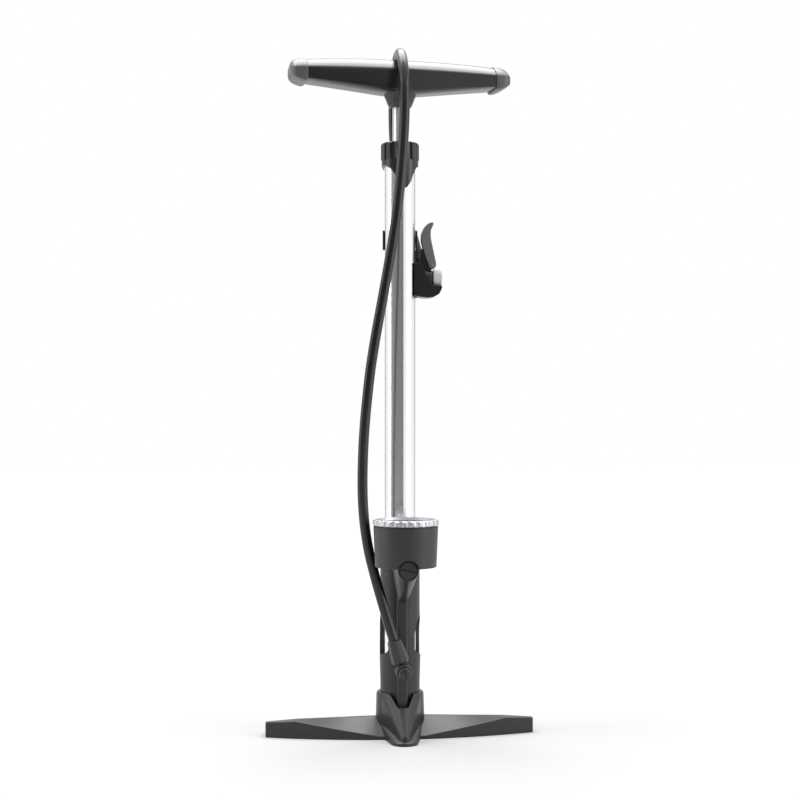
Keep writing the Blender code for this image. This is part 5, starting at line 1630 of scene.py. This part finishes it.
@dataclass
class Gauge(SubAssembly):
    """The gauge's housing, ribbed bezel, lens, printed scale, and the plug in the pod below it."""

    bottom: float = 0.163
    rim: float = 0.2005
    top: float = 0.206
    dial: float = 0.194
    ribs: int = 26
    rib_height: float = 0.00065
    draft: float = 0.0015
    wall: float = 0.002
    zero: float = math.radians(225)
    sweep: float = math.radians(270)
    numbers: int = 11
    number_size: float = 0.0044
    number_radius: float = 0.0162
    ink: float = 0.00003
    paper: float = 0.0008
    mark_edge: float = 0.0236
    marks_between: int = 5

    def build(self, shop: Workshop) -> None:
        """Builds the gauge."""
        self.build_housing(shop)
        self.build_bezel(shop)
        self.build_lens(shop)
        self.build_marks(shop)
        self.build_plug(shop)

    def place(self, height: float = 0.0) -> Matrix:
        """The gauge's axis at a height."""
        return shift(0, -GAUGE_FORWARD, height)

    def build_housing(self, shop: Workshop) -> None:
        """Builds the cup that stands on the pod."""
        inner = GAUGE_RADIUS - self.wall
        base = GAUGE_RADIUS - self.draft
        floor, ledge = self.bottom + 0.003, self.dial - CLEARANCE
        outer = [
            (GAUGE_RADIUS - 0.0009, self.rim), (GAUGE_RADIUS - 0.0009, self.rim - 0.0007),
            (GAUGE_RADIUS, self.rim - 0.0009), (base, self.bottom), (0, self.bottom),
        ]
        profile = [
            (0, floor), (inner - 0.004, floor), (inner - 0.0022, ledge), (inner, ledge), (inner, self.rim),
            *outer,
        ]
        housing = placed(turned("housing_cup", rounded_profile(profile, 0.0007)), self.place())
        reach = Sleeve.pod_radius + CLEARANCE
        notch = front_bore("notch", reach, -POD_FACE - 0.016, -SLEEVE_RADIUS + 0.002, POD_HEIGHT, 64)
        cut(housing, notch)
        shop.finish(housing, "gauge", Body.BASE, ("gauge_housing",))

    def build_bezel(self, shop: Workshop) -> None:
        """Builds the ring from one ribbed sector, repeated and welded."""
        low, columns = self.rim + CLEARANCE, 14
        root, lip = GAUGE_RADIUS + 0.0001, self.rim + 0.0022 + 2 * CLEARANCE
        bm = bmesh.new()
        rows = []
        for column in range(columns + 1):
            angle = math.tau / self.ribs * column / columns
            bump = self.rib_height * min(1.0, max(0.0, 0.5 + 1.2 * math.cos(self.ribs * angle)))
            profile = [
                (GAUGE_RADIUS - 0.0024, self.top), (root - 0.0008, self.top),
                (root - 0.0003 + 0.5 * bump, self.top - 0.0003), (root + bump, self.top - 0.0010),
                (root + bump, low + 0.0008), (root, low + 0.0002), (root - 0.0002, low),
                (GAUGE_RADIUS - 0.0007, low), (GAUGE_RADIUS - 0.0007, lip), (GAUGE_RADIUS - 0.0034, lip),
            ]
            rows.append([bm.verts.new((*polar(r, angle), z)) for r, z in profile])
        for near, far in zip(rows, rows[1:]):
            for i in range(len(near)):
                bm.faces.new((near[i - 1], near[i], far[i], far[i - 1]))
        sector = object_of("bezel_sector", bm)
        ring = shop.around("bezel_ring", sector, self.ribs, 0.0, math.tau / self.ribs, "chrome")
        shop.finish(placed(welded(ring), self.place()), "chrome", Body.BASE, ("gauge_bezel",))

    def build_lens(self, shop: Workshop) -> None:
        """Builds the clear lens under the ring's lip."""
        seat = self.rim + CLEARANCE
        r = GAUGE_RADIUS
        crown = [(0, seat + 0.0034)]
        crown += [(0.0255 * i / 8, seat + 0.0034 - 0.0011 * (i / 8) ** 2) for i in range(1, 9)]
        profile = [
            *crown, (r - 0.0034, seat + 0.0022), (r - 0.0010, seat + 0.0022), (r - 0.0010, seat), (0, seat),
        ]
        shop.finish(placed(turned("lens_disc", profile), self.place()), "clear", Body.BASE, ("gauge_lens",))

    def build_marks(self, shop: Workshop) -> None:
        """Prints the scale on the dial: long and short marks, and plain numbers."""
        spot = self.place(self.dial + self.paper + 0.00004)
        parts = []
        steps = self.numbers * self.marks_between
        for name, count, inner, width in (
            ("long_marks", self.numbers + 1, 0.0195, 0.00055),
            ("short_marks", steps + 1, 0.0213, 0.00028),
        ):
            tick = block(name, (inner, -width / 2, 0), (self.mark_edge, width / 2, 2 * self.ink))
            step = -self.sweep / (count - 1)
            parts.append(shop.around(name, tick, count, self.zero, step, "ink"))
        for number in range(self.numbers + 1):
            angle = self.zero - self.sweep * number / self.numbers
            text = bpy.data.curves.new("numeral", "FONT")
            text.body = str(number)
            text.size = self.number_size
            text.extrude = self.ink
            text.align_x, text.align_y = "CENTER", "CENTER"
            made = settled("numeral", linked("numeral", text))
            parts.append(placed(made, shift(*polar(self.number_radius, angle), self.ink)))
        marks = placed(welded(gathered("dial_marks", parts)), spot)
        shop.finish(marks, "ink", Body.BASE)

    def build_plug(self, shop: Workshop) -> None:
        """Builds the slotted plug in the pod's face."""
        head, shank = 0.0081, 0.0044
        profile = rounded_profile(
            [
                (0, -0.0002), (head, -0.0002), (head, -0.0037), (shank, -0.0037), (shank, -0.0165),
                (0, -0.0165),
            ],
            0.0008
        )
        at = shift(0, -POD_FACE, POD_HEIGHT)
        plug = placed(turned("plug_body", profile, steps=64), at @ FORWARD)
        slot = plate(
            "slot",
            rounded_profile(
                [(-0.0105, -0.0008), (0.0105, -0.0008), (0.0105, 0.0008), (-0.0105, 0.0008)], 0.0003, True,
            ),
            0.0026,
            at @ spin(math.radians(12), "Y") @ UPRIGHT @ shift(0, 0, -0.0003),
        )
        cut(plug, slot)
        shop.finish(plug, "plug", Body.BASE, ("port_plug",))


# ---------------------------------------------------------------- handle and rod


@dataclass
class Handle(SubAssembly):
    """The T handle with its end caps, cross pin and rod."""

    length: float = 0.2105
    turn: float = math.radians(7.7)
    bottom: float = 0.600
    end_bottom: float = 0.609
    edge: float = 0.621
    crest: float = 0.6332
    half_depth: float = 0.017
    belly_lift: float = 0.0016
    belly_height: float = 0.22
    belly_width: float = 0.68
    middle: float = 0.015
    edge_drop: float = 0.0015
    crest_drop: float = 0.0045
    taper: float = 0.0018
    socket_bottom: float = 0.588
    cap_length: float = 0.0155
    rod_top: float = 0.614
    rod_bottom: float = 0.0568
    pin_height: float = 0.5965

    def frame(self) -> Matrix:
        """The handle's turn about the barrel's axis."""
        return spin(self.turn, "Z")

    def section(self, side: float, grow: float = 0.0, lip: float = 0.0, crown: int = 14) -> list[Point]:
        """The bar's outline at a place along it.

        Args:
            side: The signed distance from the middle.
            grow: How far the outline stands proud of the bar's.
            lip: How far the underside hangs lower.
            crown: Points on each half of the crown.

        Returns:
            The outline's points.
        """
        x = abs(side)
        reach = max(0.0, 1 - max(0.0, x - self.middle) / (self.length / 2 - self.middle))
        low = self.end_bottom - (self.end_bottom - self.bottom) * reach - grow - lip
        share = x / (self.length / 2)
        edge = self.edge - self.edge_drop * share
        crest = self.crest - self.crest_drop * share**2.5 + grow
        depth = self.half_depth - self.taper * share + grow
        tall, wide = self.belly_height * (edge - low), self.belly_width * depth
        lift = self.belly_lift * share
        low, tall = low + lift, tall - lift
        front = [(-depth + wide * (1 - math.sin(a)), low + tall * (1 - math.cos(a))) for a in
                 (math.radians(d) for d in (0, 15, 30, 45, 60, 75, 90))]
        front += [(-depth, edge - (edge - low - tall) * (1 - t)) for t in (0.25, 0.5, 0.75, 1.0)]
        for step in range(1, crown):
            angle = math.pi / 2 * step / crown
            rise = (crest - edge) * math.sin(angle) ** 1.45
            front.append((-depth * math.cos(angle) ** 1.5, edge + rise))
        back = [(-y, z) for y, z in reversed(front)]
        return [(side, y, z) for y, z in [*front, (0, crest), *back]]

    def build(self, shop: Workshop) -> None:
        """Builds the handle, its caps, pin and the rod."""
        end = self.length / 2 - self.cap_length
        count = 60
        stations = [-end + 2 * end * i / count for i in range(count + 1)]
        handle = loft("handle_bar", [self.section(x) for x in stations])
        root = ROD_RADIUS + 0.0027
        outline = [
            (0, self.bottom + 0.006), (root + 0.0072, self.bottom + 0.0060),
            (root + 0.0068, self.bottom + 0.0022), (root + 0.0058, self.bottom + 0.0004),
            (root + 0.0046, self.bottom - 0.0018), (root + 0.0034, self.bottom - 0.0046),
            (root + 0.0022, self.bottom - 0.0078), (root + 0.0006, self.socket_bottom + 0.0008),
            (root - 0.0004, self.socket_bottom), (0, self.socket_bottom),
        ]
        join(handle, turned("flare", rounded_profile(outline, 0.0012)))
        rod_room = cylinder(
            "rod_room", ROD_RADIUS + CLEARANCE, (0, 0, self.socket_bottom - 0.002),
            (0, 0, self.rod_top + CLEARANCE), 64,
        )
        cut(handle, rod_room, self.pin("pin_hole", 0.0022, 0.03))
        shop.finish(placed(handle, self.frame()), "handle", Body.HANDLE, ("handle",), sharp=26)
        pin = bevelled(self.pin("pin_body", 0.0019, root + 0.0012), 0.0004, 2, 40)
        shop.finish(placed(pin, self.frame()), "steel", Body.HANDLE, ("handle_pin",))
        self.build_caps(shop, end + CLEARANCE)
        bore = ROD_RADIUS - 0.0015
        tube = rounded_profile(
            [
                (bore, self.rod_top), (ROD_RADIUS, self.rod_top), (ROD_RADIUS, self.rod_bottom),
                (bore, self.rod_bottom),
            ],
            0.0003,
            True,
        )
        rod = turned("rod_tube", tube, True, 64)
        placed(cut(rod, self.pin("pin_hole", 0.0022, 0.03)), self.frame())
        shop.finish(rod, "rod", Body.HANDLE, ("rod",))

    def pin(self, name: str, radius: float, reach: float) -> Piece:
        """A cylinder along the cross pin's axis."""
        return front_bore(name, radius, -reach, reach, self.pin_height, 32)

    def build_caps(self, shop: Workshop, inner: float) -> None:
        """Builds the two end caps, each with a lip under its inner edge.

        Args:
            shop: The shared workshop.
            inner: Where the caps start, along the bar.
        """
        length = self.length / 2 - inner
        shape = (
            (0.00, 0.0004, 0.0000), (0.02, 0.0009, 0.0006), (0.06, 0.0012, 0.0010), (0.20, 0.0013, 0.0012),
            (0.38, 0.0012, 0.0010), (0.50, 0.0010, 0.0006), (0.62, 0.0007, 0.0003), (0.72, 0.0002, 0.0001),
            (0.82, -0.0008, 0.0001), (0.90, -0.0020, 0.0), (0.95, -0.0033, 0.0), (0.98, -0.0046, 0.0),
            (1.00, -0.0060, 0.0),
        )
        for name, side in (("end_cap_right", 1), ("end_cap_left", -1)):
            sections = [
                self.section(side * (inner + length * share), grow, lip)
                for share, grow, lip in shape
            ]
            cap = placed(loft(name, sections), self.frame())
            node = "handle_cap_right" if side > 0 else "handle_cap_left"
            shop.finish(cap, "grip", Body.HANDLE, (node,), sharp=50)


# ---------------------------------------------------------------- clip and head


@dataclass
class Clip(SubAssembly):
    """The spring clip on the barrel with its cradle."""

    bottom: float = 0.409
    top: float = 0.473
    band: float = 0.018
    taper: float = 0.001
    mouth: float = math.radians(4)

    def build(self, shop: Workshop) -> None:
        """Builds the clip."""
        steps = 72
        outer: list[Pair] = []
        inner: list[Pair] = []
        for i in range(steps + 1):
            angle = -self.mouth + (math.pi + 2 * self.mouth) * i / steps
            radius = CLIP_RADIUS - self.taper * max(0.0, 2 * i / steps - 1, 1 - 8 * i / steps)
            outer.append(polar(radius, angle))
            inner.insert(0, polar(SLEEVE_BORE, angle))
        clip = plate(
            "clip_body", outer + inner, self.top - self.bottom,
            shift(0, 0, (self.top + self.bottom) / 2),
        )
        low, band = self.bottom, self.top - self.band
        slant = [
            (-0.030, low - 0.002), (0.022, low - 0.002), (0.022, low + 0.0025), (0.012, low + 0.0005),
            (-0.002, low + 0.026), (-0.006, band), (-0.030, band),
        ]
        cut(clip, plate("slant", slant, 0.05, UPRIGHT))
        at = shift(CLIP_RADIUS, 0, NOZZLE_HEIGHT) @ UPRIGHT
        outline = [
            (-0.0085, 0.0135), (0.0003, 0.0135), (0.0137, -0.0085), (0.0212, -0.0070), (0.0216, -0.0096),
            (0.0190, -0.0152), (0.0140, -0.0182), (0.0085, -0.0190), (0.0020, -0.0185), (-0.0085, -0.0166),
        ]
        cradle = bevelled(
            plate("cradle", rounded_profile(outline, 0.0012, True, 4), 0.0205, at), 0.0006, 2, 50,
        )
        pocket = [
            (0.0006, 0.0300), (0.0006, -0.0158), (0.0084, -0.0163), (0.0134, -0.0158), (0.0174, -0.0136),
            (0.0195, -0.0095), (0.0195, 0.0300),
        ]
        cut(
            cradle,
            cylinder("in_the_wall", SLEEVE_BORE + 0.0011, (0, 0, self.bottom), (0, 0, self.top), ROUND),
            plate("pocket", rounded_profile(pocket, 0.001, True, 3), 0.0165, at),
            block(
                "tail_room", (CLIP_RADIUS + 0.0003, 0.0040, NOZZLE_HEIGHT - 0.010),
                (CLIP_RADIUS + 0.03, 0.02, NOZZLE_HEIGHT + 0.03),
            ),
            block(
                "corner_room", (CLIP_RADIUS - 0.015, 0.0065, NOZZLE_HEIGHT - 0.006),
                (CLIP_RADIUS + 0.01, 0.02, NOZZLE_HEIGHT + 0.029),
            ),
            cylinder(
                "nut_room", 0.0084, (CLIP_RADIUS + 0.013, 0, NOZZLE_HEIGHT),
                (CLIP_RADIUS + 0.03, 0, NOZZLE_HEIGHT), 64,
            ),
        )
        join(clip, cradle)
        shop.finish(clip, "moulding", Body.BASE, ("head_clip",))


@dataclass
class Head(SubAssembly):
    """The pump head: body, nozzle nut, ferrule and lever."""

    tail_start = (0.0061, 0.0061, -0.0031)
    pivot = (0.0129, 0.0123)
    lever_lean: float = math.radians(-13)
    stub: float = 0.013
    neck_end: float = 0.0164
    nut_back: float = 0.0136
    nut_front: float = 0.0219
    lever_half: float = 0.0052
    lever_wall: float = 0.0016

    @staticmethod
    def tail_direction() -> Vector:
        """The direction in which the hose leaves the head."""
        return Vector((-0.15, 0.40, 0.905)).normalized()

    def frame(self) -> Matrix:
        """Where the nozzle's axis meets the clip."""
        return shift(CLIP_RADIUS, 0, NOZZLE_HEIGHT)

    def build(self, shop: Workshop) -> None:
        """Builds the head."""
        self.build_body(shop)
        self.build_nut(shop)
        self.build_ferrule(shop)
        self.build_lever(shop)

    def build_body(self, shop: Workshop) -> None:
        """Builds the head's body."""
        outline = [
            (0.0012, -0.0085), (0.0024, -0.0130), (0.0052, -0.0152), (0.0096, -0.0157), (0.0118, -0.0128),
            (0.0122, -0.0080), (0.0118, 0.0080), (0.0150, 0.0088), (0.0161, 0.0112), (0.0156, 0.0140),
            (0.0134, 0.0153), (0.0108, 0.0200), (0.0090, 0.0270), (0.0050, 0.0290), (0.0018, 0.0262),
            (0.0010, 0.0180),
        ]
        body = bevelled(
            plate("head_casting", rounded_profile(outline, 0.0012, True, 3), 0.0068, UPRIGHT), 0.0006, 3, 50,
        )
        chamber = rounded_profile([(0, 0.0128), (0.0075, 0.0128), (0.0075, 0.0012), (0, 0.0012)], 0.0012)
        keel_outline = (
            (0.0014, -0.0080), (0.0030, -0.0142), (0.0055, -0.0155), (0.0093, -0.0159), (0.0116, -0.0130),
            (0.0122, -0.0070),
        )
        keel = bevelled(
            hull("keel", [Vector((x, y, z)) for x, z in keel_outline for y in (-0.0062, 0.0062)]), 0.0006, 3,
            50,
        )
        start, tail = Vector(self.tail_start), self.tail_direction()
        join(
            body,
            placed(turned("chamber", chamber, steps=64), RIGHTWARD),
            keel,
            cylinder("neck", 0.0067, (0.010, 0, 0), (self.neck_end, 0, 0)),
            cylinder("stub", 0.0047, start, start + self.stub * tail),
            cylinder("barb", 0.0031, start, start + (self.stub + 0.0085) * tail, 32),
        )
        px, pz = self.pivot
        cut(
            body,
            cylinder("bore", 0.0053, (0.0062, 0, 0), (0.03, 0, 0)),
            cylinder("pin_room", 0.0016, (px, -0.02, pz), (px, 0.02, pz), 24),
        )
        shop.finish(placed(body, self.frame()), "moulding", Body.BASE, ("head_body",))

    def build_nut(self, shop: Workshop) -> None:
        """Builds the pale nut that holds the gasket, with a fine ribbing around it."""
        f, b, r = self.nut_front, self.nut_back, 0.008
        neck, bore = 0.0070, 0.0055
        profile = [
            (0.0043, f), (r - 0.0012, f), (r - 0.0004, f - 0.0003), (r, f - 0.0012), (r, b + 0.0008),
            (r - 0.0006, b), (neck, b), (neck, self.neck_end + CLEARANCE), (bore, self.neck_end + CLEARANCE),
            (bore, f - 0.0022), (0.0043, f - 0.0022),
        ]
        nut = turned("nozzle_ring", profile, True, 64)
        groove = cylinder("groove", 0.0004, (r + 0.0001, 0, b + 0.0012), (r + 0.0001, 0, f - 0.0016), 10)
        grooves = shop.around("grooves", groove, 20, 0.05, math.tau / 20, "pale")
        cut(nut, grooves)
        shop.finish(placed(nut, self.frame() @ RIGHTWARD), "pale", Body.BASE, ("nozzle_nut",))

    def build_ferrule(self, shop: Workshop) -> None:
        """Builds the ferrule that holds the hose on the head's tail."""
        low, high = 0.0135, FERRULE_END
        profile = rounded_profile(
            [
                (0, high), (0.0056, high), (0.0062, low + 0.0015), (0.0057, low), (0.0034, low),
                (0.0034, low + 0.009), (0, low + 0.009),
            ],
            0.0008,
        )
        turn = self.tail_direction().to_track_quat("Z", "Y").to_matrix().to_4x4()
        ferrule = turned("ferrule_body", profile, steps=64)
        placed(ferrule, self.frame() @ Matrix.Translation(self.tail_start) @ turn)
        shop.finish(ferrule, "moulding", Body.BASE, ("hose_ferrule",))

    def build_lever(self, shop: Workshop) -> None:
        """Builds the channel-shaped lever."""
        outline = [polar(0.0036, math.radians(a)) for a in range(180, 361, 12)]
        outline += rounded_profile(
            [
                (0.0038, 0.0010), (0.0040, 0.0140), (0.0042, 0.0250), (0.0058, 0.0318), (0.0102, 0.0376),
                (0.0088, 0.0392), (0.0040, 0.0386), (-0.0004, 0.0352), (-0.0036, 0.0300), (-0.0050, 0.0240),
                (-0.0050, 0.0160), (-0.0042, 0.0070), (-0.0037, 0.0010),
            ],
            0.0020,
            False,
            5,
        )
        lever = bevelled(plate("lever_body", outline, 2 * self.lever_half, UPRIGHT), 0.0008, 3, 50)
        inside = self.lever_half - self.lever_wall
        cut(
            lever,
            block("channel", (-0.012, -inside, -0.010), (0.0018, inside, 0.0270)),
            block("foot_room", (-0.012, -inside, -0.010), (0.012, inside, 0.0048)),
            cylinder("hole", 0.0016, (0, -0.02, 0), (0, 0.02, 0), 24),
        )
        px, pz = self.pivot
        place = self.frame() @ shift(px, 0, pz) @ spin(self.lever_lean, "Y")
        shop.finish(placed(lever, place), "lever", Body.LEVER, ("head_lever",))


# ---------------------------------------------------------------- the rest of the frame


NODE_FINISHES = {  # of the CAD nodes that stay as they are
    "gauge_dial": "dial", "gauge_needle": "needle", "gauge_stem": "brass", "bourdon_tube": "brass",
    "head_gasket": "rubber", "head_plunger": "brass", "lever_pin": "steel",
    "barrel_foot": "brass", "barrel_foot_seal": "rubber", "check_ball": "steel", "check_plug": "brass",
    "check_spring": "steel", "foot_screw_1": "steel", "foot_screw_2": "steel", "foot_screw_3": "steel",
    "port_plug_seal": "rubber", "fitting_washer_front": "rubber", "fitting_washer_rear": "rubber",
    "rod_bush": "brass", "rod_wiper": "felt", "piston": "nylon", "piston_seal": "rubber",
    "piston_band": "nylon",
}


def main() -> None:
    """Builds the studio and the pump."""
    logging.basicConfig(level=logging.INFO, format="%(message)s")
    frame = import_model()
    shop = Workshop(frame["nodes"])
    shop.open()
    Studio().build()
    for part in (Hose(), Foot(), Sleeve(), HoseFitting(), Barrel(), Gauge(), Handle(), Clip(), Head()):
        part.build(shop)
    for node, finish in NODE_FINISHES.items():
        shop.dress(node, finish)
    bpy.context.view_layer.update()


if __name__ == "__main__":
    main()
